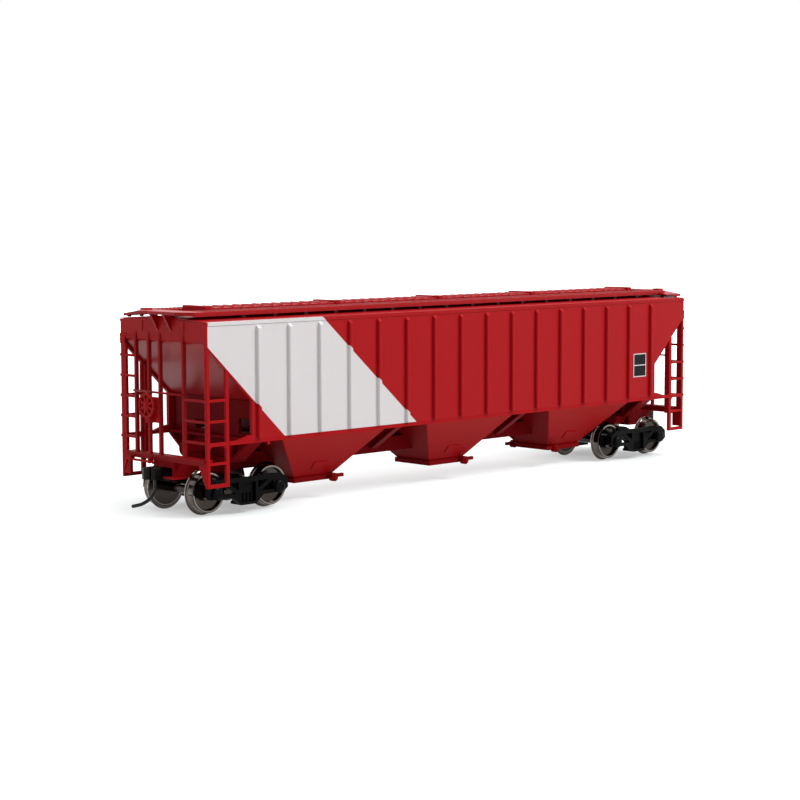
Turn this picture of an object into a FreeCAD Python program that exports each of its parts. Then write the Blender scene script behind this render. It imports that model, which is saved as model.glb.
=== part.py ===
import FreeCAD, Part
import math
import os

V = FreeCAD.Vector

# HO scale (1:87.1) three-bay covered hopper car.  Millimetres, +Z up.
# +X runs along the car away from the hand-brake end, Z = 0 is the line of the
# wheel flange bottoms and the origin lies midway between the ends.

# ---------------------------------------------------------------- body sizes
BODY_LENGTH = 189.0        # over the end plates
BODY_WIDTH = 35.0          # over the side sheets, without ribs
SIDE_TOP = 49.1            # top edge of the side sheets
SIDE_BOTTOM = 19.3         # bottom edge of the side sheets
SHEET = 1.0                # wall of sides, ends and slope sheets
ROOF_EDGE = 0.3            # thickness of the roof at its eaves, part of the side height
ROOF_RISE = 1.1            # how much the roof ridge stands above its eaves
END_PLATE_DEPTH = 5.2      # height of the end plate below the side top
SLOPE_DROP = 6.1           # slanted side edge below the side top, at the end
SLOPE_RATIO = 0.976        # fall of the slope sheet per unit of length
RIB_COUNT = 16             # ribs on each side
RIB_WIDTH = 1.15
RIB_DEPTH = 0.85
RIB_CHAMFER = 0.2
RIB_TOP_GAP = 1.2          # from the rib top to the side top
PLATE_RIBS = (8.2, -8.7)   # places of the small ribs on an end plate
CHORD_DEPTH = 0.18         # top chord strip on the side sheet
TRUCK_INSET = 16.5         # from end plate to truck centre
BULKHEAD_OFFSET = 2.1      # side sheet end edge beyond the truck centre
GLUE_GAP = 0.05            # clearance between parts that are cemented together
SEAT = 0.02                # clearance of a part against the wall that carries it

# ------------------------------------------------------------- hopper bays
OUTLET_HALF = 6.55         # half length of a bay at its outlet
OUTLET_Y = 6.5             # half width of a bay at its outlet
OUTLET_Z = 6.2             # bay bottom, top of the gate frame
RIDGE_RUN = 0.885          # run per unit of rise of the slopes between bays
RIDGE_CAP = 1.6            # flat on top of the ridge between two bays
BAY_SIDE_INSET = 1.1       # bay side behind the side sheet face, at the sill
CAP_THICK = 0.8
BAY_WALL = 0.9
GATE_BOTTOM = 4.9
GATE_WALL = 1.1
GATE_LIP = 0.45            # gate frame flange beyond the bay wall
SLIDE_THICK = 0.6
SHAFT_R = 0.55
CAPSTAN_R = 1.15
GEAR_OUT = 2.4             # capstan face beyond the gate frame
RACK_LENGTH = 3.7          # rack bar beyond the capstan
WEB_THICK = 0.8
BULKHEAD_T = 0.9
BULKHEAD_INSET = 1.2       # bulkhead face behind the side sheet's end edge
BULKHEAD_HOLE_LOW = 0.9    # foot of the bulkhead holes above the side sheet's edge
BULKHEAD_HOLES = ((-17.0, -10.8, 3.8), (1.4, 6.8, 2.3), (15.0, 17.0, 7.8))  # sides, height

# -------------------------------------------------------------- underframe
SILL_HALF = 3.0            # centre sill half width
SILL_BOTTOM = 9.8
SILL_TOP = 13.8
SILL_WALL = 0.8
TROUGH_CLEAR = 1.0         # open part of the sill beyond the end bay's outer wall
SIDE_SILL_HEIGHT = 0.95
BOLSTER_HALF = 2.3
BOLSTER_BOTTOM = 12.7
BOLSTER_FLAT = 9.0         # half width of the bolster's flat bottom
BOLSTER_WALL = 0.9
PAD_R = 3.0                # centre plate radius
END_SILL_TOP = 15.05
END_SILL_HEIGHT = 1.5
END_SILL_DEPTH = 2.4

# --------------------------------------------------- end frames and ladders
POST_DEPTH = 0.95
POST_PROUD = 0.35          # post faces before the end plate
POST_HEAD = 2.2            # slanted head of a post on the end plate
POST_WIDTH = 0.75
POSTS = (11.0, 5.6, 1.05, -8.45)   # post centres of the end frame
STILE_WIDTH = 2.1          # outer stile of the full-height ladder
RUNG = 0.65
RUNG_PITCH = 5.2
RUNG_LOW = 18.8            # lowest end rung, at the side sill line
RUNG_SHIFT = 0.5           # rungs at the short ladder's corner above those of the full ladder
SIDE_RUNGS = 2             # side ladder rungs above the side sill line
CORNER_X = 0.95            # corner post flange along the side
CORNER_Y = 0.95            # corner post flange across the end
CORNER_T = 0.8
SIDE_STILE = 1.05
FULL_STILE = 1.2           # inner stile beside the full-height ladder
FULL_STILE_DEPTH = 1.8     # its web, down to the end sill
FULL_FOOT = 3.5            # width of the corner plate below the end sill
SIDE_LADDER = 7.05         # side ladder width, end plate to inner stile
STEP_BOTTOM = 8.1
STEP_RUNG = 14.05
RUNG_PROUD = 0.25          # end ladder rungs before the end plate
HANDRAIL_Z = 30.8
HANDRAIL_R = 0.27

# ------------------------------------------------------------------- roof
HATCH_HALF = 4.3           # half width of the hatch covers
HATCH_END = 84.4           # hatch trough half length
HATCH_JOINT = 39.0         # joint between the inner and the outer cover
HATCH_RISE = 2.65          # hatch covers above the side top
HATCH_SKIRT = 0.9
HATCH_WALL = 0.6
HATCH_RIB = 0.35
HATCH_RIB_PITCH = 3.3
HATCH_RIB_WIDTH = 1.3
COAMING_CLEAR = 0.3
BATTEN_HALF = 0.9
BATTEN_RISE = 0.6          # battens above the hatch covers
WALK_RISE = 2.25           # running boards above the side top
WALK_FOOT = 1.3            # width of a running board's foot, one over each rib
WALK_EDGE = 1.15           # height of a running board's side flange
PLATFORM_EDGE = 0.8        # height of an end platform's rim
WALK_PLATE = 0.5
WALK_INNER = 6.0
WALK_OUTER = 13.0
WALK_OVERHANG = 2.6        # end platform beyond the end plate
WALK_END_DEPTH = 3.9       # end platform from the end plate inwards
WING_TIP = 16.1
WING_KINK = 8.9
WING_FALL = 1.1
WING_WIDTH = 7.0
GUSSET_T = 0.7
GUSSET_1 = 1.9
GUSSET_2 = -3.4
GUSSET_DEPTH = 4.55
WING_LUGS = (1.2, 6.4)     # lugs under the wing, from its tip
WING_PAD = 0.45            # thickness of the pad over the wing's root

# ----------------------------------------------------------- brake equipment
TANK_R = 2.0
TANK_END = -4.4            # inner end of the air tank
VALVE_HALF = 1.3
BRAKE_Y = 4.4
BRAKE_Z = 27.45
BRAKE_WHEEL_R = 3.28
BRAKE_RIM = 0.7            # radial width of the wheel rim
BRAKE_HUB_R = 0.95
BRAKE_SPOKES = 8
BRAKE_BOX_DEPTH = 1.0

# ------------------------------------------------------- trucks and wheels
AXLE_Z = 5.9
FLANGE_R = 5.9
TREAD_R = 5.25
WHEEL_BASE = 20.4
WHEEL_WIDTH = 2.8
WHEEL_BACK = 7.25          # half of the back-to-back distance
FLANGE_WIDTH = 0.75
AXLE_R = 1.2
JOURNAL_R = 0.75
AXLE_HALF = 12.9
BEARING_CLEAR = 0.05
CONE_LENGTH = 1.0
FRAME_IN = 11.3            # inner face of a side frame
FRAME_PLATE = 12.0         # inner face of the frame between the bearings
FRAME_OUT = 13.3
CHEEK_OUT = 12.5           # outer face of the spring group
CHEEK_IN = 9.0
CHEEK_HALF = 2.4
FRAME_TOP = 9.4
FRAME_END = 13.2
PLANK_BOTTOM = 2.2
TRUCK_BOLSTER_TOP = 9.1
TRUCK_BOLSTER_BOTTOM = 5.4
SWIVEL_GAP = 0.1           # centre plate above the truck bolster
KINGPIN_R = 1.2
KINGPIN_CLEAR = 0.08
KINGPIN_HEAD_R = 2.0

# --------------------------------------------------------------- couplers
COUPLER_Z = 10.9
SHANK_HALF_H = 1.0
SHANK_HALF_W = 1.15
BOX_HALF = 4.2
BOX_WALL = 0.9
BOX_LENGTH = 10.2
BOX_CLEAR = 0.15           # above and below the coupler shank
LID_THICK = 0.65
PIVOT_INSET = 7.0          # coupler pivot behind the end plate
PIVOT_R = 1.2
PIVOT_CLEAR = 0.07
SCREW_R = 0.6
SCREW_HEAD_R = 1.2
RING_R = 2.1
HEAD_START = 1.7           # coupler head beyond the end plate
HEAD_HALF_H = 1.45
JAW = 0.75                 # upper and lower plates of the head
KNUCKLE_GAP = 0.06
KNUCKLE_PIN_X = 2.45       # knuckle pin beyond the end plate
KNUCKLE_PIN_Y = 0.5
PIN_R = 0.45
PIN_CLEAR = 0.05
KNUCKLE_REACH = 6.2        # knuckle nose beyond the end plate

# ---------------------------------------------------------------- weight
WEIGHT_HALF_Y = 11.0
WEIGHT_THICK = 3.2
WEIGHT_BEYOND = 6.0        # weight beyond the ridges that carry it

# ------------------------------------------------------------ derived places
HALF_L = BODY_LENGTH / 2.0
HALF_W = BODY_WIDTH / 2.0
TRUCK_X = HALF_L - TRUCK_INSET
RIB_PITCH = 2.0 * TRUCK_X / (RIB_COUNT - 1)
EDGE_X = TRUCK_X + BULKHEAD_OFFSET
BULKHEAD_X = EDGE_X - BULKHEAD_INSET
SLOPE_TOP = SIDE_TOP - SLOPE_DROP
SLOPE_RUN = (SLOPE_TOP - OUTLET_Z) / SLOPE_RATIO
BAY_PITCH = HALF_L - SLOPE_RUN - OUTLET_HALF
RIDGE_X = BAY_PITCH / 2.0
RIDGE_Z = OUTLET_Z + (RIDGE_X - RIDGE_CAP / 2.0 - OUTLET_HALF) / RIDGE_RUN
INSIDE_Y = HALF_W - SHEET - GLUE_GAP
SHEET_TOP = SIDE_TOP - ROOF_EDGE
PLATE_LOW = SIDE_TOP - END_PLATE_DEPTH
SILL_LINE = SIDE_BOTTOM - SIDE_SILL_HEIGHT
HATCH_TOP = SIDE_TOP + HATCH_RISE
BATTEN_TOP = HATCH_TOP + BATTEN_RISE
WALK_TOP = SIDE_TOP + WALK_RISE
LADDER_RUNGS = int((PLATE_LOW + 1.0 - RUNG_LOW) / RUNG_PITCH) + 1


def slope_z(x):
    """Height of the slanted side edge at the distance x from mid-car."""
    return SLOPE_TOP - SLOPE_RATIO * (HALF_L - abs(x))


def slope_x(z):
    """Distance from mid-car at which the slanted side edge is at z."""
    return HALF_L - (SLOPE_TOP - z) / SLOPE_RATIO


# ------------------------------------------------------------------ helpers
def box(x0, x1, y0, y1, z0, z1):
    return Part.makeBox(x1 - x0, y1 - y0, z1 - z0, V(x0, y0, z0))


def face_of(points):
    wire = Part.makePolygon(points + [points[0]])
    return Part.Face(wire)


def prism_xz(pts, y0, y1):
    """Polygon in the XZ plane drawn out across the car."""
    return face_of([V(x, y0, z) for x, z in pts]).extrude(V(0, y1 - y0, 0))


def prism_yz(pts, x0, x1):
    """Polygon in the YZ plane drawn out along the car."""
    return face_of([V(x0, y, z) for y, z in pts]).extrude(V(x1 - x0, 0, 0))


def prism_xy(pts, z0, z1):
    """Polygon in plan drawn out upwards."""
    return face_of([V(x, y, z0) for x, y in pts]).extrude(V(0, 0, z1 - z0))


def rod(a, b, r):
    d = b.sub(a)
    return Part.makeCylinder(r, d.Length, a, d)


def curved_rod(points, r):
    """Round bar along a smooth curve that starts straight down."""
    curve = Part.BSplineCurve()
    last = points[-1].sub(points[-2]).normalize()
    curve.interpolate(Points=points, InitialTangent=V(0, 0, -1), FinalTangent=last)
    ring = Part.Wire([Part.Circle(points[0], V(0, 0, -1), r).toShape()])
    return Part.Wire([curve.toShape()]).makePipeShell([ring], True, False)


def bent_rod(points, r):
    """Round bar along straight runs, mitred at its bends."""
    ring = Part.Wire([Part.Circle(points[0], points[1].sub(points[0]), r).toShape()])
    return Part.makePolygon(points).makePipeShell([ring], True, False, 1)


def joined(shapes):
    out = shapes[0]
    for s in shapes[1:]:
        out = out.fuse(s)
    return out.removeSplitter()


def turned(shape):
    """The same piece at the other end of the car."""
    out = shape.copy()
    out.rotate(V(0, 0, 0), V(0, 0, 1), 180)
    return out


def mirrored_y(shape):
    return shape.mirror(V(0, 0, 0), V(0, 1, 0))


def edges_along(shape, axis):
    """Straight edges of the shape that run along one axis."""
    out = []
    for e in shape.Edges:
        a = e.Vertexes[0].Point
        b = e.Vertexes[-1].Point
        d = b.sub(a)
        if d.Length > 1e-6 and abs(abs(getattr(d, axis)) - d.Length) < 1e-6:
            out.append(e)
    return out


def moved(shape, x=0.0, y=0.0, z=0.0):
    out = shape.copy()
    out.translate(V(x, y, z))
    return out


def revolve(profile, centre, axis):
    """Solid of revolution of a list of (radius, station) points about Y."""
    pts = [V(r, s, 0) for r, s in profile]
    solid = face_of(pts).revolve(V(0, 0, 0), V(0, 1, 0), 360)
    if axis == "z":
        solid.rotate(V(0, 0, 0), V(1, 0, 0), 90)
    if axis == "x":
        solid.rotate(V(0, 0, 0), V(0, 0, 1), -90)
    return moved(solid, centre.x, centre.y, centre.z)


def save(name, shapes):
    if not isinstance(shapes, list):
        shapes = [shapes]
    solids = []
    for s in shapes:
        solids.extend(s.Solids)
    Part.makeCompound(solids).exportStep(os.path.join("parts", name + ".step"))


# --------------------------------------------------------------------- body
def roof_line(y):
    """Height of the roof surface."""
    return SIDE_TOP + ROOF_RISE * (1.0 - abs(y) / HALF_W)


def side_outline():
    """Outline of a side sheet: slanted below its ends, then upright."""
    x0 = HALF_L
    xe = EDGE_X
    return [(-x0, SHEET_TOP), (-x0, slope_z(x0)), (-xe, slope_z(xe)), (-xe, SIDE_BOTTOM),
            (xe, SIDE_BOTTOM), (xe, slope_z(xe)), (x0, slope_z(x0)), (x0, SHEET_TOP)]


def rib(x):
    """Rib on the side at +Y with its top slanted back into the sheet."""
    top = SIDE_TOP - RIB_TOP_GAP
    y0 = HALF_W - 0.2
    y1 = HALF_W + RIB_DEPTH
    low = SIDE_BOTTOM + 0.3
    pts = [(y0, low), (y1, low), (y1, top - RIB_DEPTH), (HALF_W, top), (y0, top)]
    body = prism_yz(pts, x - RIB_WIDTH / 2.0, x + RIB_WIDTH / 2.0)
    edges = [e for e in edges_along(body, "z") if abs(e.Vertexes[0].Y - y1) < 1e-6]
    return body.makeChamfer(RIB_CHAMFER, edges)


def body_shell():
    side = prism_xz(side_outline(), HALF_W - SHEET, HALF_W)
    chord = box(-HALF_L, HALF_L, HALF_W - 0.2, HALF_W + CHORD_DEPTH,
                SIDE_TOP - RIB_TOP_GAP + 0.25, SHEET_TOP)
    parts = [side, chord]
    for i in range(RIB_COUNT):
        parts.append(rib((i - (RIB_COUNT - 1) / 2.0) * RIB_PITCH))
    one = joined(parts)
    pts = [(-HALF_W, PLATE_LOW), (HALF_W, PLATE_LOW), (HALF_W, SHEET_TOP),
           (0.0, SHEET_TOP + ROOF_RISE), (-HALF_W, SHEET_TOP)]
    plate = prism_yz(pts, -HALF_L, -HALF_L + SHEET)
    for y in PLATE_RIBS:
        bar = box(-HALF_L - 0.2, -HALF_L + 0.2, y - 0.2, y + 0.2, PLATE_LOW + POST_HEAD,
                  SHEET_TOP)
        plate = plate.fuse(bar)
    return joined([one, mirrored_y(one), plate, turned(plate)])


def slope_sheet():
    """Slope sheet with its bulkhead, at the hand-brake end."""
    g = GLUE_GAP
    t = SHEET * math.sqrt(1.0 + SLOPE_RATIO ** 2)
    z_low = SIDE_BOTTOM + g
    start = PLATE_LOW - g
    x_low = -HALF_L + (start - z_low) / SLOPE_RATIO
    x_cap = -HALF_L + SHEET + g
    z_step = start + t - SLOPE_RATIO * (SHEET + g)
    outline = [(-HALF_L, start), (x_low, z_low), (x_low, z_low + t), (x_cap, z_step),
               (x_cap, start)]
    sheet = prism_xz(outline, -INSIDE_Y, INSIDE_Y)
    xb = -BULKHEAD_X
    z_wall = start - SLOPE_RATIO * (HALF_L - BULKHEAD_X)
    wall = box(xb, xb + BULKHEAD_T, -INSIDE_Y, INSIDE_Y, z_low, z_wall + 0.3)
    over = prism_xz([(-HALF_L, start + 0.3), (x_low, z_low + 0.3), (x_low, SIDE_TOP),
                     (-HALF_L, SIDE_TOP)], -HALF_W, HALF_W)
    wall = wall.cut(over)
    z0 = z_low + BULKHEAD_HOLE_LOW
    for a, b, high in BULKHEAD_HOLES:
        wall = wall.cut(box(xb - 1.0, xb + 1.0, a, b, z0, z0 + high))
    return joined([sheet, wall])


def bay_core(x_low_a, x_low_b, x_top_a, x_top_b, grow):
    """Inner or outer body of a bay; grow moves every wall outwards."""
    z_top = RIDGE_Z
    run_y = (HALF_W - BAY_SIDE_INSET - OUTLET_Y) / (SILL_LINE - OUTLET_Z)
    slant_y = grow * math.sqrt(1.0 + run_y ** 2)
    along = [(x_low_a, OUTLET_Z), (x_low_b, OUTLET_Z), (x_top_b, z_top), (x_top_a, z_top)]
    body = prism_xz(along, -HALF_W, HALF_W)
    y0 = OUTLET_Y + slant_y
    y1 = HALF_W - BAY_SIDE_INSET + slant_y
    limit = INSIDE_Y + grow
    across = [(-y0, OUTLET_Z), (y0, OUTLET_Z), (y1, SILL_LINE), (y1, z_top),
              (-y1, z_top), (-y1, SILL_LINE)]
    sides = prism_yz(across, -HALF_L, HALF_L)
    shell = body.common(sides)
    return shell.common(box(-HALF_L, HALF_L, -limit, limit, OUTLET_Z, z_top))


def sill_slot():
    """Room for the centre sill through a bay or a bolster."""
    g = GLUE_GAP
    return box(-HALF_L, HALF_L, -SILL_HALF - g, SILL_HALF + g, SILL_BOTTOM - g, SILL_TOP + g)


def hopper_bay(index):
    """Bay shell: 0 is the middle bay, -1 and +1 are the end bays."""
    ridge = RIDGE_X - RIDGE_CAP / 2.0
    wall_x = BAY_WALL * math.sqrt(1.0 + RIDGE_RUN ** 2)
    if index == 0:
        outer = bay_core(-OUTLET_HALF, OUTLET_HALF, -ridge, ridge, 0.0)
        inner = bay_core(-OUTLET_HALF + wall_x, OUTLET_HALF - wall_x, -ridge + wall_x,
                         ridge - wall_x, -BAY_WALL)
        return outer.cut(inner).cut(sill_slot())
    # the outer wall of an end bay lies in line with the slope sheet
    wall_end = BAY_WALL * math.sqrt(1.0 + 1.0 / SLOPE_RATIO ** 2)
    x_out = -BAY_PITCH - OUTLET_HALF
    x_in = -BAY_PITCH + OUTLET_HALF
    x_far = -slope_x(RIDGE_Z)
    x_ridge = -RIDGE_X - RIDGE_CAP / 2.0
    outer = bay_core(x_out, x_in, x_far, x_ridge, 0.0)
    inner = bay_core(x_out + wall_end, x_in - wall_x, x_far + wall_end, x_ridge - wall_x,
                     -BAY_WALL)
    x_keep = -slope_x(SIDE_BOTTOM) + wall_end + 0.3
    shell = outer.cut(inner).cut(sill_slot())
    shell = shell.cut(box(-HALF_L, x_keep, -HALF_W, HALF_W, SIDE_BOTTOM, SIDE_TOP))
    if index > 0:
        shell = turned(shell)
    return shell


def outlet_gate(index):
    """Gate frame under a bay with its slide plate in the opening."""
    cx = index * BAY_PITCH
    a = OUTLET_HALF + GATE_LIP
    b = OUTLET_Y + GATE_LIP
    frame = box(-a, a, -b, b, GATE_BOTTOM, OUTLET_Z)
    well = box(-a + GATE_WALL + GATE_LIP, a - GATE_WALL - GATE_LIP,
               -b + GATE_WALL + GATE_LIP, b - GATE_WALL - GATE_LIP, GATE_BOTTOM - 1, OUTLET_Z + 1)
    frame = frame.cut(well)
    slide = box(-a + GATE_WALL, a - GATE_WALL, -b + GATE_WALL, b - GATE_WALL,
                GATE_BOTTOM + 0.25, GATE_BOTTOM + 0.25 + SLIDE_THICK)
    out = joined([frame, slide])
    return moved(out, cx)


def gate_gear(index):
    """Capstan with its rack bar on each side of a gate, towards mid-car at an end bay."""
    x = OUTLET_HALF - 0.9
    y0 = -(OUTLET_Y + GATE_LIP)
    z = GATE_BOTTOM + 0.65
    stub = rod(V(x, y0, z), V(x, y0 - GEAR_OUT, z), SHAFT_R)
    hub = rod(V(x, y0 - 0.7, z), V(x, y0 - GEAR_OUT + 0.3, z), CAPSTAN_R)
    bar = box(x, x + RACK_LENGTH, y0 - 1.5, y0 - 0.7, z - 0.15, z + 0.75)
    gear = joined([stub, hub, bar])
    if index > 0:
        gear = turned(gear)
    gear = moved(gear, index * BAY_PITCH)
    return [gear, mirrored_y(gear)]


def cross_web(side):
    """Plate under the ridge between two bays, with its bottom flange and ridge cap."""
    x = side * RIDGE_X
    t = WEB_THICK / 2.0
    y_in = SILL_HALF + GLUE_GAP
    y_out = HALF_W - BAY_SIDE_INSET - 2.0
    z_in = SILL_BOTTOM + 1.0
    half = [(0.0, SILL_TOP + GLUE_GAP), (y_in, SILL_TOP + GLUE_GAP), (y_in, z_in),
            (y_out, SILL_LINE), (INSIDE_Y, SILL_LINE + 1.25), (INSIDE_Y, RIDGE_Z + 0.1),
            (0.0, RIDGE_Z + 0.1)]
    web = prism_yz(half, x - t, x + t)
    flange = prism_yz([(y_in, z_in), (y_out, SILL_LINE), (y_out, SILL_LINE + 0.7),
                       (y_in, z_in + 0.7)], x - t - 0.7, x + t + 0.7)
    cap = box(x - RIDGE_CAP / 2.0 - 0.8, x + RIDGE_CAP / 2.0 + 0.8, 0.0, INSIDE_Y,
              RIDGE_Z, RIDGE_Z + CAP_THICK)
    one = joined([web, flange, cap])
    return joined([one, mirrored_y(one)])


# --------------------------------------------------------------- underframe
def channel_fill(x0, x1):
    return box(x0, x1, -SILL_HALF + SILL_WALL / 2.0, SILL_HALF - SILL_WALL / 2.0,
               SILL_BOTTOM, SILL_TOP - SILL_WALL / 2.0)


def centre_sill():
    """Closed sill through the bays, from one draft sill to the other."""
    x = slope_x(SILL_TOP) + TROUGH_CLEAR - GLUE_GAP
    return box(-x, x, -SILL_HALF, SILL_HALF, SILL_BOTTOM, SILL_TOP)


def draft_sill():
    """End of the sill, open below, with its centre plate and coupler pocket."""
    x_box = HALF_L - BOX_LENGTH
    x_open = slope_x(SILL_TOP) + TROUGH_CLEAR
    sill = box(-x_box, -x_open, -SILL_HALF, SILL_HALF, SILL_BOTTOM, SILL_TOP)
    trough = box(-x_box, -x_open, -SILL_HALF + SILL_WALL, SILL_HALF - SILL_WALL,
                 SILL_BOTTOM - 1.0, SILL_TOP - SILL_WALL)
    sill = sill.cut(trough)
    pad_low = TRUCK_BOLSTER_TOP + SWIVEL_GAP
    block = channel_fill(-TRUCK_X - PAD_R, -TRUCK_X + PAD_R)
    pad = rod(V(-TRUCK_X, 0, pad_low), V(-TRUCK_X, 0, SILL_BOTTOM + 0.5), PAD_R)
    pin = rod(V(-TRUCK_X, 0, 0), V(-TRUCK_X, 0, SILL_TOP - SILL_WALL), KINGPIN_R)
    z_roof = COUPLER_Z + SHANK_HALF_H + BOX_CLEAR
    z_floor = COUPLER_Z - SHANK_HALF_H - BOX_CLEAR
    z_top = END_SILL_TOP - END_SILL_HEIGHT
    pocket = box(-HALF_L, -x_box, -BOX_HALF, BOX_HALF, z_floor, z_top)
    room = box(-HALF_L - 1.0, -x_box - BOX_WALL, -BOX_HALF + BOX_WALL, BOX_HALF - BOX_WALL,
               z_floor - 1.0, z_roof)
    post = rod(V(-HALF_L + PIVOT_INSET, 0, z_floor), V(-HALF_L + PIVOT_INSET, 0, z_roof + 0.2),
               PIVOT_R)
    bore = rod(V(-HALF_L + PIVOT_INSET, 0, 0), V(-HALF_L + PIVOT_INSET, 0, z_top - 0.5), SCREW_R)
    end = joined([joined([pocket]).cut(room), post])
    return joined([sill, block, pad, end]).cut(pin).cut(bore)


def coupler_lid():
    """Cover under a coupler pocket, with a recess for its screw head."""
    z1 = COUPLER_Z - SHANK_HALF_H - BOX_CLEAR
    z0 = z1 - LID_THICK
    plate = box(-HALF_L, -HALF_L + BOX_LENGTH, -BOX_HALF, BOX_HALF, z0, z1)
    plate = plate.makeFillet(0.6, edges_along(plate, "z"))
    x = -HALF_L + PIVOT_INSET
    plate = plate.cut(rod(V(x, 0, z0 - 1), V(x, 0, z1 + 1), SCREW_R))
    return plate.cut(rod(V(x, 0, z0 - 1), V(x, 0, z0 + 0.35), SCREW_HEAD_R + 0.1))


def coupler_screw():
    z1 = COUPLER_Z - SHANK_HALF_H - BOX_CLEAR
    z0 = z1 - LID_THICK
    x = -HALF_L + PIVOT_INSET
    head = rod(V(x, 0, z0 - 0.3), V(x, 0, z0 + 0.35), SCREW_HEAD_R)
    shank = rod(V(x, 0, z0), V(x, 0, COUPLER_Z + SHANK_HALF_H + BOX_CLEAR + 1.0), SCREW_R)
    slot = box(x - 2.0, x + 2.0, -0.18, 0.18, z0 - 0.4, z0)
    return joined([head, shank]).cut(slot)


def kingpin_screw():
    """Shouldered screw on which a truck swivels."""
    z_head = TRUCK_BOLSTER_BOTTOM - SWIVEL_GAP
    x = -TRUCK_X
    head = rod(V(x, 0, z_head - 1.0), V(x, 0, z_head), KINGPIN_HEAD_R)
    shank = rod(V(x, 0, z_head - 0.2), V(x, 0, SILL_TOP - SILL_WALL), KINGPIN_R)
    slot = box(x - 2.5, x + 2.5, -0.22, 0.22, z_head - 1.1, z_head - 0.5)
    return joined([head, shank]).cut(slot)


def body_bolster():
    """Body bolster: web, bottom flange that rises to the side sills, top plate."""
    x = -TRUCK_X
    y_end = HALF_W - BAY_SIDE_INSET - GLUE_GAP
    t = BOLSTER_WALL
    low = [(0.0, BOLSTER_BOTTOM), (BOLSTER_FLAT, BOLSTER_BOTTOM), (y_end, SILL_LINE - 0.15)]
    top = SIDE_BOTTOM
    web = prism_yz(low + [(y_end, top), (0.0, top)], x - t / 2.0, x + t / 2.0)
    band = prism_yz(low + [(y_end, SILL_LINE - 0.15 + t), (BOLSTER_FLAT, BOLSTER_BOTTOM + t),
                           (0.0, BOLSTER_BOTTOM + t)], x - BOLSTER_HALF, x + BOLSTER_HALF)
    deck = box(x - BOLSTER_HALF, x + BOLSTER_HALF, 0.0, y_end, top - 0.7, top)
    rib_a = box(x - BOLSTER_HALF, x + BOLSTER_HALF, BOLSTER_FLAT - 0.4, BOLSTER_FLAT + 0.4,
                BOLSTER_BOTTOM, top)
    half = joined([web, band, deck, rib_a])
    return joined([half, mirrored_y(half)]).cut(sill_slot())


def side_sill():
    """Sill angle under a side sheet, from ladder to ladder, with its corner plates."""
    x1 = HALF_L - SIDE_LADDER
    y0 = HALF_W - BAY_SIDE_INSET + GLUE_GAP
    bar = box(-x1, x1, y0, HALF_W, SILL_LINE, SIDE_BOTTOM)
    out = [bar]
    for s in (-1, 1):
        xe = EDGE_X + SEAT
        pts = [(s * x1, SIDE_BOTTOM), (s * (xe + 4.8), SIDE_BOTTOM),
               (s * (xe + 1.6), SIDE_BOTTOM + 0.95), (s * xe, SIDE_BOTTOM + 1.1),
               (s * xe, SIDE_BOTTOM - 0.3), (s * x1, SIDE_BOTTOM - 0.3)]
        out.append(prism_xz(pts, HALF_W - SHEET, HALF_W))
        lug = rod(V(s * (TRUCK_X - 3.3), HALF_W - 0.6, SILL_LINE - 0.35),
                  V(s * (TRUCK_X - 3.3), HALF_W, SILL_LINE - 0.35), 0.45)
        out.append(lug)
    return joined(out)


# --------------------------------------------------------------- end frames
def under_slope(shape):
    """Trim a shape to the space below the side sheet's slanted end."""
    g = GLUE_GAP
    x_in = slope_x(SIDE_BOTTOM)
    pts = [(-HALF_L, SLOPE_TOP - g), (-x_in, SIDE_BOTTOM - g), (-x_in, SIDE_TOP + 20.0),
           (-HALF_L, SIDE_TOP + 20.0)]
    return shape.cut(prism_xz(pts, -HALF_W - 2.0, HALF_W + 2.0))


def end_post(y):
    """End post, its head slanted back onto the end plate."""
    g = GLUE_GAP
    w = POST_WIDTH / 2.0
    x0 = -HALF_L - POST_PROUD
    x1 = x0 + POST_DEPTH
    under = PLATE_LOW - 2.0 * g
    pts = [(x0, END_SILL_TOP - 0.2), (x0, PLATE_LOW + 0.2), (-HALF_L, PLATE_LOW + POST_HEAD),
           (-HALF_L, under), (x1, under - SLOPE_RATIO * (x1 + HALF_L)),
           (x1, END_SILL_TOP - 0.2)]
    return prism_xz(pts, y - w, y + w)


def rung_z(i):
    return RUNG_LOW + i * RUNG_PITCH


def end_frame():
    """End sill, end posts, handrail and short ladder, at the hand-brake end."""
    y_near = -HALF_W + CORNER_Y + SEAT
    y_far = HALF_W - STILE_WIDTH - SEAT
    x0 = -HALF_L
    xs = x0 - POST_PROUD
    sill = box(x0, x0 + END_SILL_DEPTH, y_near, y_far, END_SILL_TOP - END_SILL_HEIGHT,
               END_SILL_TOP)
    lip = box(xs, x0 + 0.2, y_near, y_far, END_SILL_TOP - 0.6, END_SILL_TOP)
    parts = [sill, lip]
    for y in POSTS:
        parts.append(end_post(y))
    # rungs of the short ladder, from the last post over the corner post
    y_in = POSTS[3] + POST_WIDTH / 2.0
    for i in range(SIDE_RUNGS + 1):
        z = rung_z(i) + RUNG_SHIFT
        parts.append(box(xs, x0 - SEAT, -HALF_W, y_in, z - RUNG / 2.0, z + RUNG / 2.0))
    # handrail on the faces of the posts
    xh = xs - HANDRAIL_R + 0.07
    y_out = POSTS[0] + POST_WIDTH / 2.0
    parts.append(rod(V(xh, y_out, HANDRAIL_Z), V(xh, POSTS[3] - 0.2, HANDRAIL_Z), HANDRAIL_R))
    return joined(parts)


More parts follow.
